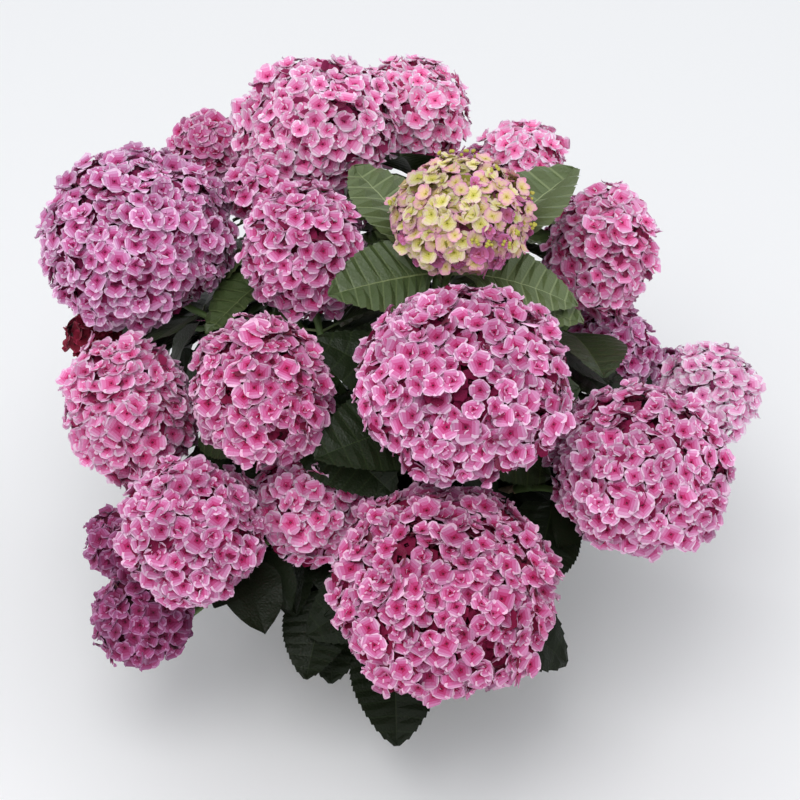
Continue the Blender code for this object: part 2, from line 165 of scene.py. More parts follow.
# Some heads' hues are painted light or shade: bright, mauve and clear heads are painted lighter
# than the lamps leave them, as painted light, and the deep heads low on the left are painted
# darker, as painted shade.
CANES = {
    "young": (Shoot(0.066, 0.003, 0.648, 0.160, 0.127, 217, -72, "young"),),
    "centre": (Shoot(0.065, -0.160, 0.552, 0.238, 0.184, 187, -57, "pink"),),
    "front_low": (Shoot(0.045, -0.265, 0.355, 0.248, 0.212, -10),),
    "right_low": (Shoot(0.262, -0.130, 0.410, 0.212, 0.178, 75, 90, "fresh"),),
    "right_high": (
        Shoot(0.230, 0.125, 0.515, 0.130, 0.176, 80, 90, "clear"),
        Shoot(0.254, 0.135, 0.374, 0.116, 0.106, 20, 90, "lilac"),
    ),
    "right_back": (
        Shoot(0.365, 0.068, 0.358, 0.124, 0.120, 100, 90, "mauve"),
        Shoot(0.355, 0.215, 0.250, 0.130, 0.110, 45, 90, "lilac"),
    ),
    "mid_left": (
        Shoot(-0.145, -0.128, 0.512, 0.158, 0.176, 160),
        Shoot(-0.104, 0.030, 0.584, 0.142, 0.164, 150, 90, "pink"),
    ),
    "front_left": (
        Shoot(-0.225, -0.182, 0.362, 0.168, 0.166, 300, 90, "pink"),
        Shoot(-0.094, -0.125, 0.352, 0.136, 0.166, 0, 90, "clear"),
    ),
    "left_low": (
        Shoot(-0.322, -0.078, 0.250, 0.086, 0.090, 150, 90, "deep"),
        Shoot(-0.288, -0.182, 0.238, 0.120, 0.108, 20, 90, "deep"),
    ),
    "left_mid": (
        Shoot(-0.306, -0.012, 0.393, 0.156, 0.194, 120, 90, "clear"),
        Shoot(-0.366, 0.130, 0.402, 0.072, 0.060, 115, 90, "wine"),
    ),
    "left_top": (Shoot(-0.302, 0.135, 0.532, 0.234, 0.220, 300, 90, "lilac"),),
    "top": (
        Shoot(-0.096, 0.245, 0.617, 0.204, 0.164, 40, 90, "pale"),
        Shoot(-0.158, 0.165, 0.578, 0.092, 0.084, 200, 90, "pink"),
    ),
    "back_top": (
        Shoot(0.012, 0.366, 0.562, 0.158, 0.144, 90, 90, "bright"),
        Shoot(0.150, 0.312, 0.527, 0.114, 0.100, 45, 90, "bright"),
    ),
    "left_back": (
        Shoot(-0.238, 0.350, 0.518, 0.108, 0.102, 120),
        Shoot(-0.350, 0.300, 0.360, 0.155, 0.130, 150, 90, "lilac"),
    ),
    "back_left": (
        Shoot(-0.100, 0.445, 0.410, 0.168, 0.140, 100, 90, "pink"),
        Shoot(-0.265, 0.415, 0.270, 0.125, 0.110, 130),
    ),
    "back_right": (
        Shoot(0.095, 0.455, 0.385, 0.165, 0.140, 80),
        Shoot(0.245, 0.325, 0.395, 0.145, 0.130, 40, 90, "lilac"),
    ),
    "back_low": (
        Shoot(-0.020, 0.420, 0.235, 0.125, 0.110, 90, 90, "lilac"),
        Shoot(0.225, 0.400, 0.245, 0.135, 0.115, 60, 90, "pink"),
    ),
    "leafy_front": (Shoot(-0.005, -0.140, 0.205, 0.0, 0.0, 235, 50),),
    "leafy_front_left": (Shoot(-0.080, -0.125, 0.250, 0.0, 0.0, 235),),
    "leafy_left": (Shoot(-0.205, -0.010, 0.270, 0.0, 0.0, 170),),
    "leafy_right": (Shoot(0.210, 0.020, 0.280, 0.0, 0.0, 30),),
    "leafy_back": (Shoot(0.060, 0.240, 0.300, 0.0, 0.0, 60),),
    "leafy_middle": (Shoot(-0.020, 0.060, 0.450, 0.0, 0.0, 240),),
}


def compass(degrees, lift=0.0):
    """A unit vector in a compass direction, raised by an angle in radians."""
    turn = math.radians(degrees)
    level = math.cos(lift)
    return Vector((math.cos(turn) * level, math.sin(turn) * level, math.sin(lift)))


def middle_of(shoots):
    """The middle of the heads of these shoots."""
    return sum((Vector(shoot[:3]) for shoot in shoots), Vector()) / len(shoots)


def mass_foot(shoots):
    """Where the cane that carries these shoots ends and their growth begins."""
    out = middle_of(shoots) - FORK
    rise = 1.0 - (1.0 - CANE_SHARE) ** CANE_ARCH
    return FORK + Vector((out.x * CANE_SHARE, out.y * CANE_SHARE, out.z * rise))


def leaving_ways():
    """The direction of each cane at the stool: steeper than its growth, and spread out."""
    ways = []
    for shoots in CANES.values():
        out = mass_foot(shoots) - FORK
        level = math.hypot(out.x, out.y)
        tilt = (math.pi / 2 - math.atan2(out.z, level)) * CANE_STEEPEN
        ways.append(compass(math.degrees(math.atan2(out.y, out.x)), math.pi / 2 - tilt))
    for _ in range(SPREADING_ROUNDS):
        for first in range(len(ways)):
            for second in range(first):
                angle = ways[first].angle(ways[second])
                if angle < CANE_APART:
                    apart = (ways[first] - ways[second]).normalized()
                    push = apart * (CANE_APART - angle) / 2
                    ways[first] = (ways[first] + push).normalized()
                    ways[second] = (ways[second] - push).normalized()
        for index, way in enumerate(ways):
            if way.z < math.sin(CANE_LOWEST):
                flat = math.degrees(math.atan2(way.y, way.x))
                ways[index] = compass(flat, CANE_LOWEST)
    return ways


def ring(shape, place, way, radii):
    """A closed loop of edges round a point, square to a direction, one radius a corner."""
    loop = bmesh.ops.create_circle(shape, segments=len(radii), radius=1.0)["verts"]
    turn = UP.rotation_difference(way)
    for corner, radius in zip(loop, radii):
        corner.co = Vector(place) + turn @ (corner.co * radius)
    return loop


def edges_of(loop):
    """The edges between the corners of one ring."""
    return list({edge for corner in loop for edge in corner.link_edges
                 if all(end in loop for end in edge.verts)})


def limb(shape, path, radii, sides):
    """A closed limb: rings of one radius, or of one a corner, bridged and capped."""
    loops = []
    for (place, way), around in zip(path, radii):
        around = [around] * sides if np.isscalar(around) else around
        loops.append(edges_of(ring(shape, place, way, around)))
    for lower, upper in zip(loops, loops[1:]):
        bmesh.ops.bridge_loops(shape, edges=lower + upper)
    bmesh.ops.holes_fill(shape, edges=loops[0] + loops[-1], sides=sides)


ways = leaving_ways()
stump = bmesh.new()
stool_path = []
stool_radii = []
for step in range(STOOL_RINGS + 1):
    share = step / STOOL_RINGS
    height = STOOL_HEIGHT * share ** STOOL_RINGS_LOW
    flare = STOOL_FLARE * math.exp(-height / STOOL_FLARE_FALL)
    radius = (STOOL_NECK + flare) * (STOOL_DOME if step == STOOL_RINGS else 1.0)
    depth = ROOT_RIDGE_DEPTH * flare / STOOL_FLARE
    turns = [math.tau * side / STOOL_SIDES for side in range(STOOL_SIDES)]
    stool_path.append((STOOL_LEAN * share + UP * height, UP))
    stool_radii.append([radius * (1.0 + depth * math.cos(ROOT_RIDGES * turn)) for turn in turns])
limb(stump, stool_path, stool_radii, STOOL_SIDES)
for way in ways:
    stub_path = [(FORK + way * reach, way) for reach in (STUB_START, STUB_END)]
    limb(stump, stub_path, [CANE_FOOT_RADIUS * swell for swell in STUB_SWELLS], STUB_SIDES)
bmesh.ops.recalc_face_normals(stump, faces=stump.faces)


def surface_effect(name, pattern, reading, strength, distance):
    """A node group that gives the mask of a pattern, and the normal of its relief."""
    group = bpy.data.node_groups.new(name, "ShaderNodeTree")
    group.interface.new_socket("Grain", in_out="INPUT", socket_type="NodeSocketVector")
    group.interface.new_socket("Mask", in_out="OUTPUT", socket_type="NodeSocketFloat")
    group.interface.new_socket("Normal", in_out="OUTPUT", socket_type="NodeSocketVector")
    taken = group.nodes.new("NodeGroupInput")
    given = group.nodes.new("NodeGroupOutput")
    where = group.nodes.new("ShaderNodeTexCoord")
    stretch = group.nodes.new("ShaderNodeMapping")
    texture = group.nodes.new(pattern)
    texture.inputs["Scale"].default_value = 1.0
    relief = group.nodes.new("ShaderNodeBump")
    relief.inputs["Strength"].default_value = strength
    relief.inputs["Distance"].default_value = distance
    group.links.new(where.outputs["Object"], stretch.inputs["Vector"])
    group.links.new(taken.outputs["Grain"], stretch.inputs["Scale"])
    group.links.new(stretch.outputs["Vector"], texture.inputs["Vector"])
    group.links.new(texture.outputs[reading], given.inputs["Mask"])
    group.links.new(texture.outputs[reading], relief.inputs["Height"])
    group.links.new(relief.outputs["Normal"], given.inputs["Normal"])
    return group, texture


def with_effect(material, group, grain):
    """Puts an effect's relief on a material; grain is how fine it is each way."""
    effect = material.node_tree.nodes.new("ShaderNodeGroup")
    effect.node_tree = group
    effect.inputs["Grain"].default_value = grain
    shader = material.node_tree.nodes["Principled BSDF"]
    material.node_tree.links.new(effect.outputs["Normal"], shader.inputs["Normal"])
    return effect


BARK_STREAK = 0.25
BARK_TONES_AT = (0.35, 0.68)

fibres, streaks = surface_effect("fibres", "ShaderNodeTexNoise", "Fac", 0.5, 0.0012)
streaks.inputs["Detail"].default_value = 6.0
streaks.inputs["Roughness"].default_value = 0.65


def bark_material(name, old, fresh, scale, roughness):
    """Dull bark: two browns in long streaks, with a rough fibrous surface."""
    made = plain_material(name, old, roughness)
    effect = with_effect(made, fibres, (scale, scale, scale * BARK_STREAK))
    tones = made.node_tree.nodes.new("ShaderNodeValToRGB")
    for stop, at, colour in zip(tones.color_ramp.elements, BARK_TONES_AT, (old, fresh)):
        stop.position = at
        stop.color = (*colour, 1.0)
    shader = made.node_tree.nodes["Principled BSDF"]
    made.node_tree.links.new(effect.outputs["Mask"], tones.inputs["Fac"])
    made.node_tree.links.new(tones.outputs["Color"], shader.inputs["Base Color"])
    return made


stool = finished("stool_bark", stump, [])
remesh = stool.modifiers.new("Grown_together", "REMESH")
remesh.mode = "VOXEL"
remesh.voxel_size = BARK_VOXEL
grown = stool.evaluated_get(bpy.context.evaluated_depsgraph_get())
stump = bmesh.new()
stump.from_mesh(grown.data)
bpy.data.objects.remove(stool)
for _ in range(2):
    bmesh.ops.smooth_vert(stump, verts=stump.verts, factor=0.5, use_axis_x=True,
                          use_axis_y=True, use_axis_z=True)
stump.normal_update()
for corner in stump.verts:
    around = math.atan2(corner.co.y, corner.co.x) * STOOL_NECK
    spot = Vector((around * FURROW_ACROSS, corner.co.z * FURROW_ALONG, 0.0))
    furrow = noise.fractal(spot, *FURROW_NOISE)
    corner.co -= corner.normal * BARK_FURROW * max(0.0, min(1.0, 0.5 + furrow))
    corner.co.z = max(corner.co.z, 0.0)
    if corner.co.z < BARK_VOXEL:
        corner.co.z = 0.0
old_bark = bark_material("old_bark", (0.085, 0.062, 0.045), (0.27, 0.21, 0.15), 160.0, 0.92)
stool = finished("stool_bark", stump, [old_bark])
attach(stool, "root")
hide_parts("trunk")

# ------------------------------------------------------------------ canes
# One cane for each mass: last years' wood in thin, dull tan bark, swollen where a
# pair of leaves once stood and split in long shreds. It grows out of its stub.

ARC_STIFFNESS = 0.38
CANE_SIDES = 6
CANE_STEPS = 6
CANE_FINE_SIDES = 10
CANE_FINE_STEP = 0.005
CANE_NODE_APART = 0.055
CANE_NODE_SWELL = 0.22
CANE_ROUGH = 0.07
FIRST_NODE = (0.2, 0.8)
NODE_HALF_LENGTH = 0.004


def curve(start, start_way, end, end_way, steps):
    """Points and tangents along a smooth arc that leaves and arrives the given ways."""
    reach = (end - start).length * ARC_STIFFNESS
    handles = (start, start + start_way * reach, end - end_way * reach, end)
    path = []
    for step in range(steps + 1):
        t = step / steps
        u = 1.0 - t
        weights = (u ** 3, 3 * u * u * t, 3 * u * t * t, t ** 3)
        point = sum((h * w for h, w in zip(handles, weights)), Vector())
        slopes = (3 * u * u, 6 * u * t, 3 * t * t)
        legs = [handles[i + 1] - handles[i] for i in range(3)]
        tangent = sum((leg * slope for leg, slope in zip(legs, slopes)), Vector())
        path.append((point, tangent.normalized()))
    return path


def stem_way(shoots):
    """The direction in which a cane enters its mass."""
    return (middle_of(shoots) - mass_foot(shoots)).normalized()


def rings_along(path, foot_radius, tip_radius, sides, dice, node_apart, swell, rough):
    """Radii for a limb that tapers, swells at its nodes and is a little uneven."""
    walked = dice.uniform(*FIRST_NODE) * node_apart
    radii = []
    for index, (place, _) in enumerate(path):
        if index:
            walked += (place - path[index - 1][0]).length
        share = index / (len(path) - 1)
        radius = foot_radius + (tip_radius - foot_radius) * share
        near = abs((walked / node_apart) % 1.0 - 0.5) * node_apart
        radius *= 1.0 + swell * math.exp(-(near / NODE_HALF_LENGTH) ** 2)
        radii.append([radius * (1.0 + dice.uniform(-rough, rough)) for _ in range(sides)])
    return radii


wood = bmesh.new()
cane_paths = {}
for (name, shoots), way in zip(CANES.items(), ways):
    dice = random.Random(f"{name} cane")
    ends = (FORK + way * (STUB_END + GAP), way, mass_foot(shoots), stem_way(shoots))
    cane_paths[name] = curve(*ends, CANE_STEPS)
    steps = max(CANE_STEPS, round((ends[2] - ends[0]).length / CANE_FINE_STEP))
    path = curve(*ends, steps)
    radii = rings_along(path, CANE_FOOT_RADIUS, CANE_TIP_RADIUS, CANE_FINE_SIDES, dice,
                        CANE_NODE_APART, CANE_NODE_SWELL, CANE_ROUGH)
    limb(wood, path, radii, CANE_FINE_SIDES)
bmesh.ops.recalc_face_normals(wood, faces=wood.faces)
cane_bark = bark_material("cane_bark", (0.16, 0.11, 0.07), (0.40, 0.31, 0.20), 240.0, 0.85)
canes = finished("cane_bark", wood, [cane_bark])
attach(canes, "root")
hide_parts(*[f"bough_{name}" for name in CANES])

# ------------------------------------------------------------------ green stems
# This year's growth: one round green stem out of each cane's tip, forked into a
# shoot for every flower head. Inside the head the shoot splits into pink-green rays.

STEM_LENGTH = 0.024
STEM_RADIUS = 0.0056
STEM_SIDES = 10
SHOOT_SUNK = 0.009
SHOOT_FOOT_RADIUS = 0.0043
SHOOT_TIP_RADIUS = 0.0036
SHOOT_SIDES = 4
SHOOT_STEPS = 4
HEAD_LEAN = 0.9
HEAD_HEEL = 0.25
SHOOT_FINE_SIDES = 8
SHOOT_FINE_STEPS = 18
SHOOT_NODE_APART = 0.04
SHOOT_NODE_SWELL = 0.3
SHOOT_ROUGH = 0.02
STEM_GRAIN = (900.0, 900.0, 120.0)
RAY_COUNT = 14
RAY_SPREAD = 22
RAY_REACH = 0.86
RAY_SUNK = 0.004
RAY_RADII = (0.00192, 0.0012, 0.0012, 0.00096)
GOLDEN_ANGLE = math.radians(137.508)


def head_axis(shoot):
    """A head looks up, and leans out the more the nearer it is to the edge of the shrub."""
    return (Vector((shoot.x, shoot.y, 0.0)) * HEAD_LEAN + UP).normalized()


def shoot_path(shoots, shoot, steps):
    """The way of one shoot, from the fork of its mass into the middle of its head."""
    way = stem_way(shoots)
    start = mass_foot(shoots) + way * (STEM_LENGTH - SHOOT_SUNK)
    axis = head_axis(shoot)
    end = Vector(shoot[:3]) - axis * shoot.height * HEAD_HEEL
    toward = (end - start).normalized()
    return curve(start, (way + toward).normalized(), end, (axis + toward).normalized(), steps)


def head_place(shoot):
    """The matrix that turns a ball of radius 1 into a flower head."""
    turn = UP.rotation_difference(head_axis(shoot)).to_matrix().to_4x4()
    size = Matrix.Diagonal((shoot.width / 2, shoot.width / 2, shoot.height / 2, 1.0))
    return Matrix.Translation(shoot[:3]) @ turn @ size


def spiral(count, index, twist=0.0):
    """One of a number of points spread evenly on a ball of radius 1, from the top down."""
    height = 1.0 - (2 * index + 1) / count
    level = math.sqrt(1.0 - height * height)
    turn = index * GOLDEN_ANGLE + twist
    return Vector((math.cos(turn) * level, math.sin(turn) * level, height))


green_stem = plain_material("green_stem", (0.10, 0.17, 0.045), roughness=0.5)
pink_ray = plain_material("pink_ray", (0.33, 0.12, 0.14), roughness=0.6)
for skin in (green_stem, pink_ray):
    with_effect(skin, fibres, STEM_GRAIN)
stem_paths = {}
for name, shoots in CANES.items():
    dice = random.Random(f"{name} stems")
    growth = bmesh.new()
    entering = stem_way(shoots)
    foot = mass_foot(shoots) + entering * GAP
    stem = [(foot + entering * STEM_LENGTH * share, entering) for share in (0, 0.3, 0.7, 1)]
    stem_paths[name] = [stem[0], stem[-1]]
    limb(growth, stem, [CANE_TIP_RADIUS] * 2 + [STEM_RADIUS] * 2, STEM_SIDES)
    for shoot in shoots:
        path = shoot_path(shoots, shoot, SHOOT_FINE_STEPS)
        radii = rings_along(path, SHOOT_FOOT_RADIUS, SHOOT_TIP_RADIUS, SHOOT_FINE_SIDES, dice,
                            SHOOT_NODE_APART, SHOOT_NODE_SWELL, SHOOT_ROUGH)
        limb(growth, path, radii, SHOOT_FINE_SIDES)
        if not shoot.width:
            continue
        place = head_place(shoot)
        heel, way = path[-1]
        for ray in range(RAY_COUNT):
            tip = place @ (spiral(RAY_SPREAD, ray) * RAY_REACH)
            arc = curve(heel - way * RAY_SUNK, way, tip, (tip - heel).normalized(), 3)
            count = len(growth.faces)
            limb(growth, arc, RAY_RADII, 4)
            growth.faces.ensure_lookup_table()
            for face in growth.faces[count:]:
                face.material_index = 1
    bmesh.ops.recalc_face_normals(growth, faces=growth.faces)
    stems = finished(f"{name}_stems", growth, [green_stem, pink_ray])
    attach(stems, "root")
    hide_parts(f"mass_{name}")

# ------------------------------------------------------------------ flower heads
# A mophead is a ball of florets on thin stalks. Each floret is a shallow rosette of
# broad wavy sepals round a small crimson eye: deep at the heart, pale at the rim.

# A sepal: how far out each row of its corners is, and how wide it is there, as shares of
# its length and half its breadth, and where its colour turns from each zone to the next.
SEPAL_ROWS = ((0.0, 0.20), (0.18, 0.52), (0.40, 0.86), (0.66, 1.0), (0.88, 0.84), (1.0, 0.44))
ZONE_LIMITS = (0.18, 0.40, 0.66, 0.87)
ZONE_RAGGED = 0.08
HEART_SPREAD = (0.78, 1.30)
RIM_FROM = 0.66
SEPAL_FOOT = 0.05
SEPAL_BLUNT = 0.13
SEPAL_OVERLAP = 0.10
SPOON = 0.12
RUFFLE = 0.080
RUFFLE_OUT = 0.032
RUFFLED_FROM = 0.9

# A floret: the breadth that its sepals share, and how much they and the smaller inner
# sepals of a double one differ in length, width, turn, cup and curl.
SEPAL_BREADTH = 2.55
SEPAL_TURN = 0.14
SEPAL_LENGTHS = (0.84, 1.12)
SEPAL_WIDTHS = (0.88, 1.12)
SEPAL_CUP = 0.27
FLORET_CUPS = (0.35, 1.7)
SEPAL_CUPS = (0.4, 1.7)
SEPAL_CURLS = (0.0, 0.40)
INNER_SEPALS = 3
INNER_TURN = 0.3
INNER_LENGTHS = (0.36, 0.52)
INNER_BREADTH = 0.5
INNER_CUP = 0.45
INNER_CURL = 0.2
EYE_RADII = (0.09, 0.03)
EYE_HEIGHT = 0.10
EYE_PLACE = (0.0, 0.0, 0.06)
FLORET_KINDS = 14
UNDER_KINDS = 5
BUD_KINDS = 2
BUD_BEADS = 5
BUD_RADIUS = 0.0022
BUD_SPREAD = 1.7

# A head: its clusters, how its florets are spread over them, and its core, painted dark as shade.
FLORET_RADIUS = 0.0140
FLORET_SIZES = (0.82, 1.14)
FLORET_APART = 0.0196
FLORET_ROOM = 0.866
FLORET_ASTRAY = 0.36
FLORETS_LOST = 0.04
FLORET_SUNK = 0.00448
FLORET_DEPTHS = (-0.003, 0.006, 0.0)
FLORET_TILT = 0.34
FLORET_LOOKS_UP = 0.50
CLUSTER_SPREAD = 0.5
UNDER_CROWD = 0.8
UNDER_DEPTH = 0.0095
HEAD_UNEVEN = 0.12
HEAD_PEAKS = 38
HEAD_WIDTH = 0.16
HEAD_LEAST_PEAKS = 18
HEAD_SWELL = 0.075
SWELL_GRAIN = 1.7
GROOVE_RADIUS = 0.88
PEAK_DROP = 0.06
HEEL_OPENING = math.radians(38)
CORE_SHARE = 0.72
CORE_ROUGH = 0.10
CORE_GRAIN = 5.0
NOISE_APART = 9
YOUNG_SIZE = 0.78
YOUNG_SLANT = 0.18
CREAM_BELOW = 0.30
BLUSH_BELOW = 0.80
BUD_CLUSTERS = 16
BUDS_OUT = 0.97

# The zones of a sepal, from the eye out, and their colours on a head of each hue; the
# last, depth, colours a head's core as painted shade. A young head is still cream and
# yellow-green, with pink creeping in from the rims.
ZONES = ("eye", "heart", "inner", "middle", "blade", "margin", "depth")
EYE, HEART, *_, CORE_SHADE = range(len(ZONES))
# bright, mauve and clear are lightened hues, painted light; deep is a darkened hue, painted shade.
HUES = {
    "pink": ((110, 5, 50), (182, 34, 98), (204, 80, 140), (215, 116, 170), (226, 152, 198),
             (246, 204, 232), (72, 2, 26)),
    "rose": ((108, 4, 44), (178, 30, 88), (200, 70, 130), (210, 106, 160), (220, 142, 188),
             (243, 195, 223), (68, 2, 24)),
    "fresh": ((112, 5, 52), (190, 40, 104), (212, 89, 149), (223, 126, 179), (234, 163, 207),
              (252, 214, 239), (76, 3, 30)),
    "lilac": ((104, 7, 54), (174, 40, 106), (203, 87, 149), (215, 127, 182), (227, 163, 208),
              (249, 212, 240), (68, 3, 32)),
    "pale": ((124, 9, 62), (208, 62, 128), (229, 110, 168), (238, 147, 197), (246, 182, 219),
             (255, 226, 245), (92, 7, 38)),
    "clear": ((122, 8, 60), (208, 54, 118), (229, 98, 159), (238, 134, 188), (245, 169, 214),
              (254, 217, 241), (90, 6, 38)),
    "bright": ((132, 14, 70), (232, 76, 142), (248, 124, 182), (253, 158, 206), (255, 190, 224),
               (255, 230, 247), (118, 16, 54)),
    "mauve": ((124, 20, 80), (212, 92, 154), (232, 138, 188), (242, 172, 214), (250, 204, 232),
              (255, 238, 251), (98, 16, 58)),
    "deep": ((76, 4, 34), (122, 20, 68), (142, 40, 90), (154, 64, 112), (166, 90, 138),
             (190, 132, 172), (44, 2, 18)),
    "cream": ((150, 150, 40), (200, 194, 86), (222, 212, 124), (232, 221, 156), (240, 225, 186),
              (243, 208, 204), (180, 124, 84)),
    "blush": ((170, 150, 50), (210, 190, 104), (228, 202, 146), (234, 196, 174), (236, 186, 188),
              (234, 162, 196), (170, 104, 84)),
    "plum": ((150, 60, 80), (192, 90, 120), (204, 106, 144), (208, 112, 158), (212, 116, 172),
             (222, 146, 194), (110, 40, 60)),
    "wine": ((70, 6, 20), (100, 8, 30), (112, 11, 36), (122, 14, 42), (134, 18, 48),
             (158, 40, 70), (44, 4, 12)),
}
# How light a pale, a middling, a deep and a hidden floret are: partly a random tone, partly
# painted shade, as florets in the grooves between clusters lean deeper and hidden ones take
# the darkest. The hues whose outer florets are each a step lighter get that as painted light.
FLORET_TONES_AND_SHADE = (1.00, 0.87, 0.70, 0.50)
SUNLIT_HUES = ("bright", "mauve")

crinkle, crinkles = surface_effect("crinkle", "ShaderNodeTexNoise", "Fac", 0.9, 0.0014)
crinkles.inputs["Detail"].default_value = 3.0


def petal_material(name, colour):
    """Soft living tissue: matt, with a faint sheen, and finely crinkled."""
    made = plain_material(name, colour, roughness=0.7)
    shader = made.node_tree.nodes["Principled BSDF"]
    shader.inputs["Specular IOR Level"].default_value = 0.2
    shader.inputs["Sheen Weight"].default_value = 0.12
    shader.inputs["Sheen Roughness"].default_value = 0.4
    with_effect(made, crinkle, (420.0, 420.0, 420.0))
    return made


def sepal(shape, length, half_width, rows, turn, cup, curl, dice):
    """One broad sepal, from the eye to its blunt point, spooned, with a ruffled rim."""
    last = len(rows) - 1
    spread = dice.uniform(*HEART_SPREAD)
    count = len(shape.faces)
    grid = bmesh.ops.create_grid(shape, x_segments=2, y_segments=last, size=1.0)["verts"]
    shape.faces.ensure_lookup_table()
    for face in shape.faces[count:]:
        middle = face.calc_center_median()
        row = int((middle.y + 1.0) / 2 * last)
        t = (rows[row][0] + rows[row + 1][0]) / 2 + dice.uniform(-ZONE_RAGGED, ZONE_RAGGED)
        zone = sum(t > limit for limit in ZONE_LIMITS)
        # The outer rows take the pale margin colour, partly the sepal's own paler rim and partly a
        # painted highlight; past the inner zone the raised half of the sepal takes it too, as a
        # painted highlight.
        if middle.x > 0 and t > ZONE_LIMITS[1]:
            zone = len(ZONE_LIMITS)
        face.material_index = HEART + zone
    for corner in grid:
        aside = corner.co.x if abs(corner.co.x) > 0.5 else RIM_FROM
        t, wide = rows[round((corner.co.y + 1.0) / 2 * last)]
        t = t ** spread
        along = SEPAL_FOOT + (1.0 - SEPAL_FOOT) * t - SEPAL_BLUNT * aside * aside * t * t
        rise = cup * t - curl * t ** 4 + SPOON * aside * aside * t + SEPAL_OVERLAP * aside * t
        if abs(aside) > 0.5 or t > RUFFLED_FROM:
            rise += RUFFLE * t * dice.uniform(-1, 1)
            along += RUFFLE_OUT * t * dice.uniform(-1, 1)
        corner.co = Vector((half_width * wide * aside, along * length, rise * length))
    bmesh.ops.rotate(shape, verts=grid, cent=(0, 0, 0), matrix=Matrix.Rotation(turn, 3, "Z"))


def floret(dice, sepals, rows, double=False):
    """One floret, facing up, with its eye at the origin and a radius of 1."""
    shape = bmesh.new()
    start = dice.uniform(0, math.tau)
    cup = SEPAL_CUP * dice.uniform(*FLORET_CUPS)
    broad = SEPAL_BREADTH / sepals
    for index in range(sepals):
        turn = start + math.tau * index / sepals + dice.uniform(-SEPAL_TURN, SEPAL_TURN)
        sepal(shape, dice.uniform(*SEPAL_LENGTHS), broad * dice.uniform(*SEPAL_WIDTHS), rows,
              turn, cup * dice.uniform(*SEPAL_CUPS), dice.uniform(*SEPAL_CURLS), dice)
    for index in range(INNER_SEPALS if double else 0):
        turn = start + math.tau * (index + 0.5) / INNER_SEPALS
        turn += dice.uniform(-INNER_TURN, INNER_TURN)
        sepal(shape, dice.uniform(*INNER_LENGTHS), broad * INNER_BREADTH, rows[::2], turn,
              cup + INNER_CUP, INNER_CURL, dice)
    eye = bmesh.ops.create_cone(shape, cap_ends=False, segments=5, radius1=EYE_RADII[0],
                                radius2=EYE_RADII[1], depth=EYE_HEIGHT)["verts"]
    bmesh.ops.translate(shape, verts=eye, vec=EYE_PLACE)
    for face in {face for corner in eye for face in corner.link_faces}:
        face.material_index = EYE
    return shape


def arrays_of(shape, zone=None):
    """The points, corner numbers, face sizes and material numbers of a small shape."""
    shape.verts.index_update()
    points = np.array([corner.co for corner in shape.verts])
    corners = np.array([corner.index for face in shape.faces for corner in face.verts])
    sizes = np.array([len(face.verts) for face in shape.faces])
    slots = [face.material_index if zone is None else zone for face in shape.faces]
    shape.free()
    return points, corners, sizes, np.array(slots)


def joined(name, copies, materials, smooth=True):
    """One piece from the arrays of many small shapes."""
    starts = np.cumsum([0] + [len(copy[0]) for copy in copies[:-1]])
    points = np.concatenate([copy[0] for copy in copies])
    corners = np.concatenate([copy[1] + start for copy, start in zip(copies, starts)])
    sizes = np.concatenate([copy[2] for copy in copies])
    slots = np.concatenate([copy[3] for copy in copies])
    mesh = bpy.data.meshes.new(name)
    mesh.vertices.add(len(points))
    mesh.vertices.foreach_set("co", points.astype(np.float32).ravel())
    mesh.loops.add(len(corners))
    mesh.loops.foreach_set("vertex_index", corners.astype(np.int32))
    mesh.polygons.add(len(sizes))
    mesh.polygons.foreach_set("loop_start", (np.cumsum(sizes) - sizes).astype(np.int32))
    mesh.polygons.foreach_set("material_index", slots.astype(np.int32))
    mesh.polygons.foreach_set("use_smooth", np.full(len(sizes), smooth))
    mesh.update(calc_edges=True)
    return shown(name, mesh, materials)


def jolt(dice, reach=1.0):
    """A random move, within a cube."""
    return Vector([dice.uniform(-reach, reach) for _ in range(3)])


florets = []
for kind in range(FLORET_KINDS):
    dice = random.Random(f"floret {kind}")
    florets.append(arrays_of(floret(dice, 4 if kind % 3 == 0 else 5, SEPAL_ROWS, kind % 4 == 1)))
# Hidden florets under the outer layer, all in the heart colour; a head draws them in its darkest
# tone, as painted shade.
under_florets = []
for kind in range(UNDER_KINDS):
    dice = random.Random(f"under floret {kind}")
    under_florets.append(arrays_of(floret(dice, 4, SEPAL_ROWS[1::2]), HEART))

buds = []
for kind in range(BUD_KINDS):
    dice = random.Random(f"bud {kind}")
    cluster = bmesh.new()
    for _ in range(BUD_BEADS):
        bead = bmesh.ops.create_icosphere(cluster, subdivisions=1, radius=BUD_RADIUS)["verts"]
        bmesh.ops.translate(cluster, verts=bead, vec=jolt(dice) * BUD_RADIUS * BUD_SPREAD)
    buds.append(arrays_of(cluster, HEART))

petals = {hue: [] for hue in HUES}
for hue, zones in HUES.items():
    for tone, light in enumerate(FLORET_TONES_AND_SHADE):
        for zone, colour in zip(ZONES, zones):
            colour = tuple(min(0.95, part * light) for part in linear(*colour))
            petals[hue].append(petal_material(f"petal_{hue}_{zone}_{tone}", colour))


def placed(small, place, out, spin, size, first_slot):
    """A copy of a small shape, its axis turned to a direction."""
    points, corners, sizes, slots = small
    turn = (UP.rotation_difference(out) @ Quaternion(UP, spin)).to_matrix()
    moved = points @ (np.array(turn).T * size) + np.array(place)
    return moved, corners, sizes, slots + first_slot


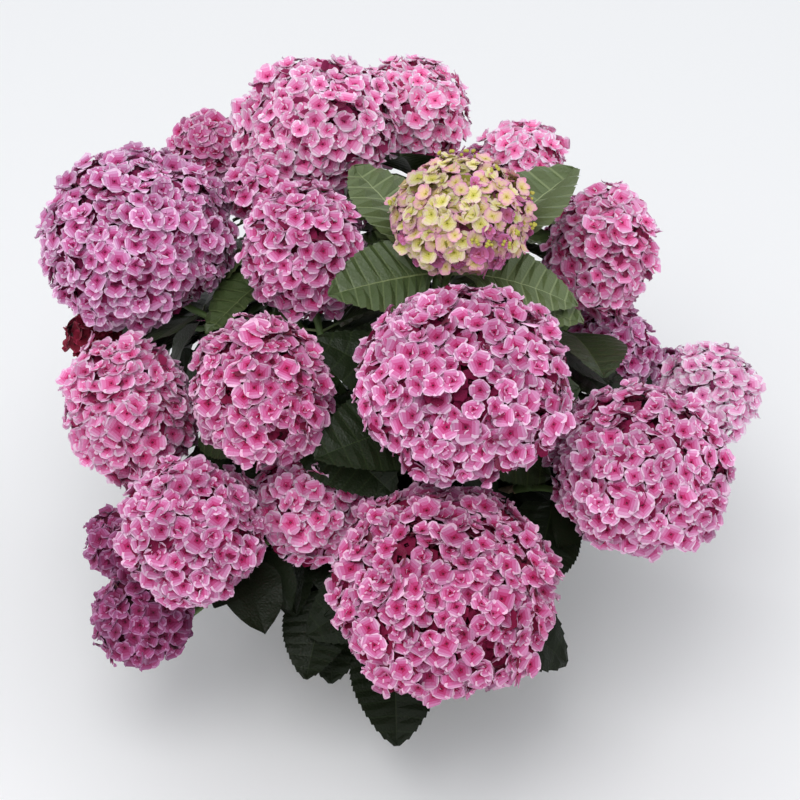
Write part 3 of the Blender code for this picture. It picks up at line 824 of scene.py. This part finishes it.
def head_lumps(shoot, dice):
    """The lumps of a head: each cluster's direction, height and cell, and the grooves."""
    count = max(HEAD_LEAST_PEAKS, round(HEAD_PEAKS * shoot.width / HEAD_WIDTH))
    ball = bmesh.new()
    for index in range(count):
        ball.verts.new(spiral(count, index, dice.uniform(-HEAD_UNEVEN, HEAD_UNEVEN)))
    bmesh.ops.convex_hull(ball, input=ball.verts)
    ball.faces.index_update()
    grooves = [face.calc_center_median().normalized() for face in ball.faces]
    lumps = []
    for point in ball.verts:
        across = point.co.orthogonal().normalized()
        beside = point.co.cross(across)
        cell = [(grooves[face.index], face.index) for face in point.link_faces]
        cell.sort(key=lambda item: math.atan2(item[0].dot(beside), item[0].dot(across)))
        height = 1.0 - dice.uniform(0.0, PEAK_DROP)
        lumps.append((point.co.copy(), height, [index for _, index in cell]))
    ball.free()
    return grooves, lumps


def floret_hue(shoot, way, dice):
    """A young head is yellower up on its left and pinker low on its right."""
    if shoot.hue != "young":
        return shoot.hue
    pinkness = 0.5 + YOUNG_SLANT * way.x - YOUNG_SLANT * way.z + dice.uniform(-0.5, 0.5)
    return "cream" if pinkness < CREAM_BELOW else "blush" if pinkness < BLUSH_BELOW else "plum"


def head_florets(shoot, dice, lumps, hues):
    """Every floret of one head, in the clusters that its lumps stand for."""
    place = head_place(shoot)
    middle = Vector(shoot[:3])
    spread = math.sqrt(4.0 / len(lumps))
    scale = YOUNG_SIZE if shoot.hue == "young" else 1.0
    swell_at = jolt(dice, NOISE_APART)
    apart = FLORET_APART * scale
    area = math.pi * shoot.width * shoot.height
    heel = math.cos(math.pi - HEEL_OPENING)
    copies = []
    for hidden in (False, True):
        crowd = UNDER_CROWD if hidden else 1.0
        count = round(area / (apart * apart * FLORET_ROOM) * crowd)
        for index in range(count):
            way = spiral(count, index)
            way += jolt(dice) * FLORET_ASTRAY * apart / shoot.width
            way.normalize()
            near, height, _ = max(lumps, key=lambda lump: lump[0].dot(way))
            off = min(1.0, math.acos(max(-1.0, min(1.0, near.dot(way)))) / spread)
            if way.z < heel or (not hidden and dice.random() < FLORETS_LOST):
                continue
            reach = height - (height - GROOVE_RADIUS) * off * off
            reach += HEAD_SWELL * noise.noise(way * SWELL_GRAIN + swell_at)
            face_out = (place @ way - middle).normalized()
            depth = FLORET_SUNK + dice.triangular(*FLORET_DEPTHS)
            # A floret's tone is random but leans deeper away from its lump's peak, into the
            # grooves: painted shade. Sunlit hues take a step of painted light.
            tone = int(dice.triangular(0, len(FLORET_TONES_AND_SHADE) - 1.01, 0.5 + off))
            if shoot.hue in SUNLIT_HUES:
                tone = max(0, tone - 1)
            # Hidden florets sink deeper and take the darkest tone, as painted shade.
            if hidden:
                depth += UNDER_DEPTH
                tone = len(FLORET_TONES_AND_SHADE) - 1
            spot = place @ (way * reach) - face_out * depth
            bend = Vector([dice.gauss(0, 1) for _ in range(3)]) * FLORET_TILT
            bend += UP * FLORET_LOOKS_UP
            face_out = (face_out - (near - way) * CLUSTER_SPREAD + bend).normalized()
            size = FLORET_RADIUS * scale * dice.uniform(*FLORET_SIZES)
            first = hues.index(floret_hue(shoot, way, dice)) * len(FLORET_TONES_AND_SHADE) + tone
            small = dice.choice(under_florets if hidden else florets)
            spin = dice.uniform(0, math.tau)
            copies.append(placed(small, spot, face_out, spin, size, first * len(ZONES)))
    for index in range(BUD_CLUSTERS if shoot.hue == "young" else 0):
        way = Vector([dice.gauss(0, 1) for _ in range(3)]).normalized()
        way.z = abs(way.z)
        spot = place @ (way * BUDS_OUT)
        copies.append(placed(dice.choice(buds), spot, way, 0.0, 1.0, len(ZONES)))
    return copies


def head_core(shoot):
    """The uneven inside of a head, painted dark: painted shade that shows between its florets."""
    core = bmesh.new()
    ball = bmesh.ops.create_icosphere(core, subdivisions=3, radius=CORE_SHARE)["verts"]
    for corner in ball:
        lump = noise.noise(corner.co * CORE_GRAIN + Vector(shoot[:3]) * NOISE_APART)
        corner.co *= 1.0 + CORE_ROUGH * lump
    core.transform(head_place(shoot))
    return arrays_of(core, CORE_SHADE)


heads = []
for name, shoots in CANES.items():
    for number, shoot in enumerate(shoots):
        if not shoot.width:
            continue
        dice = random.Random(f"{name} head {number}")
        grooves, lumps = head_lumps(shoot, dice)
        heads.append((shoot, grooves, lumps))
        hues = ["cream", "blush", "plum"] if shoot.hue == "young" else [shoot.hue]
        copies = head_florets(shoot, dice, lumps, hues) + [head_core(shoot)]
        skins = [material for hue in hues for material in petals[hue]]
        head = joined(f"{name}_florets_{number}", copies, skins)
        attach(head, "root")
        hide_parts(f"mass_{name}")

# ------------------------------------------------------------------ leaves
# Crossed pairs of broad, toothed leaves on short stalks, dull green and quilted
# between deep side veins. They shade each other, and painted shade makes the lower ones darker.

LEAF_LENGTH = 0.145
LEAF_LENGTHS = (0.88, 1.08)
LEAF_UNEVEN = 5
LEAF_FIRST = 0.014
LEAF_STEP = 0.034
LEAF_STEP_GROWTH = 1.3
LEAF_PAIRS = 4
LEAF_STAGGER = 0.0015
YOUNG_STEP = 0.45
YOUNG_LENGTH = 1.08
SHADED_NODES = (0.97, 0.80, 0.64, 0.48)
SHADED_SHOOT_NODES = (0.60, 0.38, 0.16)
SHADED_LENGTHS = (0.68, 0.86)
SHADED_UNEVEN = 20
SHADED_TURN = 137.5
SHADED_ASIDE = 45
# How a leaf may stand: its splay from the shoot, its droop, and what it may try in turn
# until it touches nothing.
LEAF_SPLAY = math.radians(73)
LEAF_LEVEL = 0.6
LEAF_SQUARE = 0.4
LEAF_DROOP_AT_TOP = 0.10
LEAF_DROOP_AT_GROUND = 0.62
LEAF_SIZES = (1.0, 0.84, 0.68)
LEAF_BENDS = (1.0, 1.7, 0.4)
LEAF_NUDGES = (0, 12, -12, 24, -24, 38, -38)
# The room of a leaf: how far along its three corners stand, how wide and how thick it is.
LEAF_STATIONS = ((0.0, 0.011), (0.45, 0.31), (0.76, 0.22))
LEAF_FOLD = 0.16
LEAF_THICKNESS = 0.024
LEAF_ROOM = 0.0016
# The room of the crown: a round dome over a floor that rises to its rim, cut off below
# the front by a skirt that rises to both sides.
CROWN_MIDDLE = (0.0, 0.05)
CROWN_REACH = (0.385, 0.45)
CROWN_TOP = 0.62
CROWN_FLOOR = 0.07
CROWN_FLOOR_RISE = 0.12
SKIRT_LOWEST_X = 0.02
SKIRT_AT_ORIGIN = -0.172
SKIRT_RISE_FORWARD = 0.93
SKIRT_RISE_LEFT = 1.55
SKIRT_RISE_RIGHT = 1.9
# Leaves that stand out from the rest: the shoot and node that each springs from, how far
# above the node, the reach of the leaf as it sets out, how much it droops, and how far
# its face leans to the front.
LONE_LEAVES = (
    ("young", 0, 0.007, Vector((0.142, 0.136, 0.050)), 0.04, -0.35),
    ("young", 0, 0.004, Vector((-0.121, -0.056, 0.028)), 0.22, 0.50),
    ("young", 0, -0.003, Vector((-0.097, 0.126, 0.080)), 0.15, -0.30),
    ("young", 0, 0.001, Vector((0.132, -0.022, 0.022)), 0.40, 0.15),
    ("leafy_front", 0, 0.004, Vector((-0.003, -0.148, -0.053)), 0.16, 0.0),
    ("leafy_front_left", 0, 0.004, Vector((-0.033, -0.112, -0.045)), 0.18, 0.0),
    ("leafy_front_left", 1, 0.004, Vector((-0.022, -0.118, -0.050)), 0.16, 0.0),
    ("front_low", 1, 0.004, Vector((0.172, -0.060, -0.050)), 0.34, 0.3),
    ("front_left", 0, 0.004, Vector((0.033, -0.095, -0.022)), 0.15, 0.0),
    ("front_left", 0, -0.004, Vector((-0.036, -0.047, -0.041)), 0.10, 0.0),
)


class Obstacle:
    """A plain stand-in for a limb, head or leaf, to keep leaves clear of it."""

    def __init__(self, corners, faces):
        self.corners = [Vector(corner) for corner in corners]
        self.tree = BVHTree.FromPolygons(self.corners, faces)
        self.low = [min(corner[axis] for corner in self.corners) for axis in range(3)]
        self.high = [max(corner[axis] for corner in self.corners) for axis in range(3)]

    def meets(self, other):
        """Whether the surfaces of the two shapes cross."""
        for axis in range(3):
            if self.low[axis] > other.high[axis] or other.low[axis] > self.high[axis]:
                return False
        return bool(self.tree.overlap(other.tree))


def bridge(count, first, second):
    """Quads between two rings of the same number of corners."""
    turns = [(side, (side + 1) % count) for side in range(count)]
    return [(first + here, first + on, second + on, second + here) for here, on in turns]


def tube(path, foot_radius, tip_radius, sides):
    """The obstacle that a limb makes."""
    corners = []
    faces = [tuple(range(sides))]
    across = path[0][1].orthogonal().normalized()
    for index, (point, tangent) in enumerate(path):
        across = (across - tangent * across.dot(tangent)).normalized()
        beside = tangent.cross(across)
        radius = foot_radius + (tip_radius - foot_radius) * index / (len(path) - 1)
        for side in range(sides):
            angle = math.tau * side / sides
            corners.append(point + (across * math.cos(angle) + beside * math.sin(angle)) * radius)
        if index:
            faces += bridge(sides, (index - 1) * sides, index * sides)
    last = (len(path) - 1) * sides
    faces.append(tuple(range(last, last + sides)))
    return Obstacle(corners, faces)


def head_obstacle(shoot, grooves, lumps):
    """The obstacle that a flower head makes: a peak on every lump."""
    corners = [groove * GROOVE_RADIUS for groove in grooves]
    faces = []
    for middle, height, around in lumps:
        for first, second in zip(around, around[1:] + around[:1]):
            faces.append((first, second, len(corners)))
        corners.append(middle * height)
    place = head_place(shoot)
    return Obstacle([place @ corner for corner in corners], faces)


def leaf_room(root, outward, upward, length, droop, room=0.0):
    """The obstacle that a leaf makes, with free air round it."""
    across = outward.cross(upward).normalized()
    corners = []
    for along, half in LEAF_STATIONS:
        sag = droop * along * along
        middle = root + (outward * along - upward * sag) * length
        wide = half * length + room
        rise = LEAF_FOLD * half * length + room / 2
        corners.append(middle + across * wide + upward * rise)
        corners.append(middle - across * wide + upward * rise)
        corners.append(middle - upward * (LEAF_THICKNESS * length / 2 + room))
    corners.append(root + (outward - upward * droop) * length + outward * room)
    faces = [(0, 1, 2)] + bridge(3, 0, 3) + bridge(3, 3, 6)
    faces += [(6, 7, 9), (7, 8, 9), (8, 6, 9)]
    return Obstacle(corners, faces)


def in_crown(corner):
    """Whether one corner of a leaf is in the room of the crown."""
    across = (corner.x - CROWN_MIDDLE[0]) / CROWN_REACH[0]
    along = (corner.y - CROWN_MIDDLE[1]) / CROWN_REACH[1]
    reach = across * across + along * along
    low = CROWN_FLOOR + CROWN_FLOOR_RISE * reach
    aside = corner.x - SKIRT_LOWEST_X
    rise = max(SKIRT_RISE_RIGHT * aside, -SKIRT_RISE_LEFT * aside)
    skirt = SKIRT_AT_ORIGIN + rise - SKIRT_RISE_FORWARD * corner.y
    return reach < 1.0 and corner.z > max(low, skirt)


def squared(facing, outward):
    """The direction square to a leaf's own that is nearest to the way it should face."""
    return (facing - outward * facing.dot(outward)).normalized()


def leaf_way(way, wanted, nudge):
    """The direction of a leaf: square to its shoot, as near as can be to the one wanted."""
    side = wanted - way * wanted.dot(way)
    beside = UP.cross(way)
    if wanted.dot(beside) < 0:
        beside = -beside
    side += beside * (1.0 - side.length)
    side.z *= LEAF_LEVEL
    side = squared(side, way)
    side.rotate(Quaternion(way, math.radians(nudge)))
    return (side * math.sin(LEAF_SPLAY) + way * math.cos(LEAF_SPLAY)).normalized()


def free_leaf(root, way, turn, length, obstacles):
    """The first of a few like leaves that touches nothing, or None."""
    droop = LEAF_DROOP_AT_GROUND + (LEAF_DROOP_AT_TOP - LEAF_DROOP_AT_GROUND) * root.z / CROWN_TOP
    facing = way * LEAF_SQUARE + UP * (1.0 - LEAF_SQUARE)
    for size, bend, nudge in product(LEAF_SIZES, LEAF_BENDS, LEAF_NUDGES):
        outward = leaf_way(way, compass(turn), nudge)
        shape = (root, outward, squared(facing, outward), length * size, droop * bend)
        trial = leaf_room(*shape, LEAF_ROOM)
        if not all(in_crown(corner) for corner in trial.corners[3:]):
            continue
        if not any(trial.meets(obstacle) for obstacle in obstacles):
            return shape
    return None


def leaf_nodes(path, shoot):
    """Places down a shoot where leaf pairs spring, wider apart towards the fork."""
    nodes = []
    step = LEAF_STEP
    wanted = shoot.height * HEAD_HEEL + LEAF_FIRST
    walked = 0.0
    for (upper, way), (lower, _) in zip(path[::-1], path[-2::-1]):
        leg = (lower - upper).length
        while walked + leg >= wanted and len(nodes) < LEAF_PAIRS:
            nodes.append((upper.lerp(lower, (wanted - walked) / leg), way))
            crowded = shoot.hue == "young" and len(nodes) == 1
            wanted += step * YOUNG_STEP if crowded else step
            step *= LEAF_STEP_GROWTH
        walked += leg
    return nodes


def leaf_plan():
    """Every leaf pair that is asked for, from the top of the crown down."""
    plan = []
    for name, shoots in CANES.items():
        for number, shoot in enumerate(shoots):
            dice = random.Random(f"{name} leaves {number}")
            for rank, (root, way) in enumerate(leaf_nodes(shoot_paths[name][number], shoot)):
                turn = shoot.turn + shoot.cross * rank + dice.uniform(-LEAF_UNEVEN, LEAF_UNEVEN)
                length = LEAF_LENGTH * dice.uniform(*LEAF_LENGTHS)
                length *= YOUNG_LENGTH if shoot.hue == "young" else 1.0
                plan.append((name, number, root, way, turn, length))
    plan.sort(key=lambda entry: -entry[2].z)
    return plan


def shaded_pairs(name, limb, path, shares, turn, dice):
    """The smaller leaf pairs at some shares of one cane or shoot, inside the crown."""
    pairs = []
    for rank, share in enumerate(shares):
        root, way = path[round(share * (len(path) - 1))]
        aside = turn + 90 * rank + dice.uniform(-SHADED_UNEVEN, SHADED_UNEVEN)
        length = LEAF_LENGTH * dice.uniform(*SHADED_LENGTHS)
        pairs.append((name, limb, root, way, aside, length))
    return pairs


shoot_paths = {}
limb_obstacles = {}
for name, shoots in CANES.items():
    shoot_paths[name] = [shoot_path(shoots, shoot, SHOOT_STEPS) for shoot in shoots]
    limb_obstacles[name, "cane"] = tube(cane_paths[name], CANE_FOOT_RADIUS, CANE_TIP_RADIUS,
                                        CANE_SIDES)
    limb_obstacles[name, "stem"] = tube(stem_paths[name], CANE_TIP_RADIUS, STEM_RADIUS, CANE_SIDES)
    for number, path in enumerate(shoot_paths[name]):
        limb_obstacles[name, number] = tube(path, SHOOT_FOOT_RADIUS, SHOOT_TIP_RADIUS, SHOOT_SIDES)
head_obstacles = [head_obstacle(*head) for head in heads]

plan = leaf_plan()
for index, (name, shoots) in enumerate(CANES.items()):
    dice = random.Random(f"{name} shaded leaves")
    plan += shaded_pairs(name, "cane", cane_paths[name], SHADED_NODES, index * SHADED_TURN, dice)
    for number, shoot in enumerate(shoots):
        plan += shaded_pairs(name, number, shoot_paths[name][number], SHADED_SHOOT_NODES,
                             shoot.turn + SHADED_ASIDE, dice)

leaves = {name: [] for name in CANES}
leaf_obstacles = []
for name, node, rise, reach, droop, lean in LONE_LEAVES:
    root, way = leaf_nodes(shoot_paths[name][0], CANES[name][0])[node]
    outward = reach.normalized()
    upward = squared(UP - compass(90) * lean, outward)
    leaves[name].append((root + way * rise, outward, upward, reach.length, droop))
    leaf_obstacles.append(leaf_room(*leaves[name][-1]))
for name, limb, root, way, turn, length in plan:
    own = ((name, "stem"), (name, limb))
    limbs = [solid for place, solid in limb_obstacles.items() if place not in own]
    obstacles = head_obstacles + leaf_obstacles + limbs
    pair = [free_leaf(root, way, turn, length, obstacles),
            free_leaf(root - way * LEAF_STAGGER, way, turn + 180, length, obstacles)]
    for shape in filter(None, pair):
        leaves[name].append(shape)
        leaf_obstacles.append(leaf_room(*shape))

# The blade: its outline, its slanting veins and midrib, and the swelling between them.
STALK_SHARE = 0.13
STALK_RADIUS = 0.013
STALK_TAPER = 0.8
STALK_LENGTH = STALK_SHARE + 0.05
STALK_HANG = 0.6
SHADED_STALK_SHARE = STALK_SHARE * 0.4
LEAF_HALF_WIDTH = 0.345
LEAF_FULL_LOW = 0.84
LEAF_BLUNT = 0.64
LEAF_NARROWING = 0.14
# Each column of corners: how far out it is, and how much of the swelling it takes.
LEAF_COLUMNS = ((-1.0, 0.5), (-0.52, 1.0), (-0.03, 0.1), (0.03, 0.1), (0.52, 1.0), (1.0, 0.5))
LEAF_SWAY = 0.03
LEAF_WAVE = 0.02
LEAF_WAVES = 9.0
VEINS = 7
LAST_VEIN = 0.90
VEIN_SLANT = 0.20
VEIN_BEND = 0.9
VEIN_HALF = 0.0065
MIDRIB_HALF = 0.010
MIDRIB_SUNK = 0.008
MIDRIB_END = 1.05
QUILT = 0.034
FLAT_QUILT = 0.010
TOOTH = (0.011, 0.006)
TOOTH_PLACE = 0.85
TOOTH_LEAST_ROOM = 0.012
TOOTHLESS_END = STALK_SHARE + 0.02
SHADED_RIPPLE = 0.010
SHADED_RIPPLES = 40.0
SHADED_STALK_HALF = 0.012
WELD = 0.0015
LEAF_KINDS = 6
SHADED_KINDS = 4
FULL, RIB, VEIN = range(3)


def leaf_half_width(along):
    """Half the width of a leaf, a share of its length, at a share of its length."""
    share = max(0.0, min(1.0, (along - STALK_SHARE) / (1.0 - STALK_SHARE)))
    full = math.sin(math.pi * share ** LEAF_FULL_LOW) ** LEAF_BLUNT
    return LEAF_HALF_WIDTH * full * (1.0 - LEAF_NARROWING * share)


def leaf_blade(dice, quilt):
    """A flat leaf of length 1 along +Y, its top up, quilted between slanting veins."""
    stations = []
    for vein in range(VEINS + 1):
        base = STALK_SHARE + (LAST_VEIN - STALK_SHARE) * vein / VEINS
        stations += [(base - VEIN_HALF, 0.0), (base + VEIN_HALF, 0.0)]
        stations.append((base + (LAST_VEIN - STALK_SHARE) / VEINS / 2, 1.0))
    rows = len(stations)
    columns = len(LEAF_COLUMNS) - 1
    shape = bmesh.new()
    bmesh.ops.create_grid(shape, x_segments=columns, y_segments=rows, size=1.0)
    for face in shape.faces:
        centre = face.calc_center_median()
        column = int((centre.x + 1.0) / 2 * columns)
        row = int((centre.y + 1.0) / 2 * rows)
        face.material_index = RIB if column == columns // 2 else VEIN if row % 3 == 0 else FULL
    phase = dice.uniform(0, math.tau)
    sway = dice.uniform(-LEAF_SWAY, LEAF_SWAY)
    for corner in shape.verts:
        u, swell = LEAF_COLUMNS[round((corner.co.x + 1.0) / 2 * columns)]
        row = round((corner.co.y + 1.0) / 2 * rows)
        base, bulge = stations[row] if row < rows else (1.0, 0.0)
        side = abs(u) if abs(u) > 0.1 else 0.0
        along = min(1.0, base + VEIN_SLANT * side ** VEIN_BEND * (1.0 - base))
        half = leaf_half_width(along)
        aside = u * half if side else math.copysign(MIDRIB_HALF * (MIDRIB_END - along), u)
        rise = quilt * bulge * swell
        rise += LEAF_WAVE * math.sin(phase + along * LEAF_WAVES) * side * side
        rise -= 0.0 if side else MIDRIB_SUNK
        corner.co = Vector((aside + sway * along * along, along, rise))
    bmesh.ops.remove_doubles(shape, verts=shape.verts, dist=WELD)
    return shape


def leaf_shape(dice, quilt):
    """A whole leaf: its blade, its teeth and its stalk."""
    shape = leaf_blade(dice, quilt)
    rim = [edge for edge in shape.edges if len(edge.link_faces) == 1]
    for edge in rim:
        low, high = sorted(edge.verts, key=lambda corner: corner.co.y)
        if high.co.y - low.co.y < TOOTH_LEAST_ROOM or low.co.y < TOOTHLESS_END:
            continue
        out = math.copysign(TOOTH[0], low.co.x)
        tip = low.co.lerp(high.co, TOOTH_PLACE) + Vector((out, TOOTH[1], 0.0))
        made = shape.faces.new((low, high, shape.verts.new(tip)))
        made.normal_update()
        if made.normal.z < 0:
            made.normal_flip()
    stalk = bmesh.ops.create_cone(shape, cap_ends=False, segments=5, radius1=STALK_RADIUS,
                                  radius2=STALK_RADIUS * STALK_TAPER, depth=STALK_LENGTH)["verts"]
    lying = Matrix.Rotation(-math.pi / 2, 3, "X")
    bmesh.ops.rotate(shape, verts=stalk, cent=(0, 0, 0), matrix=lying)
    bmesh.ops.translate(shape, verts=stalk, vec=(0, STALK_LENGTH / 2, -STALK_RADIUS * STALK_HANG))
    for face in {face for corner in stalk for face in corner.link_faces}:
        face.material_index = RIB
    return shape


def shaded_leaf(dice):
    """A leaf for the shade inside the crown, with a ripple but few faces."""
    shape = bmesh.new()
    bmesh.ops.create_grid(shape, x_segments=4, y_segments=8, size=1.0)
    phase = dice.uniform(0, math.tau)
    for corner in shape.verts:
        u = corner.co.x
        base = (corner.co.y + 1.0) / 2
        base = SHADED_STALK_SHARE + (1.0 - SHADED_STALK_SHARE) * base
        along = min(1.0, base + VEIN_SLANT * abs(u) * (1.0 - base))
        ripple = math.sin(phase + base * SHADED_RIPPLES) * SHADED_RIPPLE * abs(u)
        aside = u * max(leaf_half_width(along), SHADED_STALK_HALF) + ripple
        rise = LEAF_WAVE * math.sin(phase + along * LEAF_WAVES) * u * u + ripple
        corner.co = Vector((aside, along, rise))
    bmesh.ops.remove_doubles(shape, verts=shape.verts, dist=WELD)
    return shape


def grown_leaf(small, root, outward, upward, length, droop, first_slot):
    """A copy of a leaf, arched and folded as its stand-in is."""
    points, corners, sizes, slots = small
    across = outward.cross(upward).normalized()
    along = points[:, 1]
    rise = points[:, 2] + LEAF_FOLD * np.abs(points[:, 0]) - droop * along * along
    moved = np.outer(points[:, 0], across) + np.outer(along, outward) + np.outer(rise, upward)
    return moved * length + np.array(root), corners, sizes, slots + first_slot


# The blade, midrib and side veins of a leaf, from the sunlit ones down to the darkest: painted
# light and shade.
LEAF_SHADE_TONES = (
    ((94, 109, 68), (154, 166, 120), (122, 135, 92)),
    ((72, 88, 50), (122, 134, 88), (92, 107, 66)),
    ((48, 61, 34), (80, 94, 56), (62, 76, 42)),
    ((33, 43, 24), (54, 66, 38), (42, 53, 30)),
    ((23, 30, 16), (38, 46, 26), (29, 37, 21)),
)
LEAF_PARTS = ("blade", "rib", "vein")
LEAF_GLOSS = (0.5, 0.45, 0.3, 0.2, 0.15)
LEAF_ROUGHNESS = 0.44
# How high, far out and little shaded from the front a leaf must be for each tone of painted shade.
SHADE_TONE_LIMITS = (0.60, 0.565, 0.50, 0.385)
OUTER_LIGHT = 0.35
FRONT_SHADE = 0.4
FRONT_SHADE_FROM = 0.06
LIGHT_UNEVEN = 0.02

netted, net = surface_effect("netted_veins", "ShaderNodeTexVoronoi", "Distance", 0.55, 0.0012)
net.feature = "DISTANCE_TO_EDGE"


def leaf_material(name, colour, gloss):
    """Leathery blade: a soft sheen over fine netted veins."""
    made = plain_material(name, colour, LEAF_ROUGHNESS)
    made.node_tree.nodes["Principled BSDF"].inputs["Specular IOR Level"].default_value = gloss
    with_effect(made, netted, (240.0, 240.0, 240.0))
    return made


leaf_materials = []
for tone, (colours, gloss) in enumerate(zip(LEAF_SHADE_TONES, LEAF_GLOSS)):
    for part, colour in zip(LEAF_PARTS, colours):
        leaf_materials.append(leaf_material(f"leaf_{part}_{tone}", linear(*colour), gloss))

sunlit_kinds, dull_kinds = [
    [arrays_of(leaf_shape(random.Random(f"leaf {kind}"), quilt)) for kind in range(LEAF_KINDS)]
    for quilt in (QUILT, FLAT_QUILT)]
shaded_kinds = [arrays_of(shaded_leaf(random.Random(f"shaded leaf {kind}")), FULL)
                for kind in range(SHADED_KINDS)]

for name, shapes in leaves.items():
    if not shapes:
        continue
    dice = random.Random(f"{name} blades")
    copies = []
    for shape in shapes:
        root, outward, _, length, _ = shape
        tip = root + outward * length
        # Painted shade: a leaf low down, near the middle or out at the front under the heads takes
        # a darker tone.
        light = root.z + OUTER_LIGHT * math.hypot(tip.x, tip.y)
        light += dice.uniform(-LIGHT_UNEVEN, LIGHT_UNEVEN)
        light -= FRONT_SHADE * max(0.0, -tip.y - FRONT_SHADE_FROM)
        tone = sum(light < limit for limit in SHADE_TONE_LIMITS)
        small = length < LEAF_LENGTH * SHADED_LENGTHS[1]
        kinds = sunlit_kinds if tone < 2 else shaded_kinds if small else dull_kinds
        copies.append(grown_leaf(dice.choice(kinds), *shape, len(LEAF_PARTS) * tone))
    blades = joined(f"{name}_leaves", copies, leaf_materials, smooth=False)
    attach(blades, "root")
    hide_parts(f"mass_{name}")
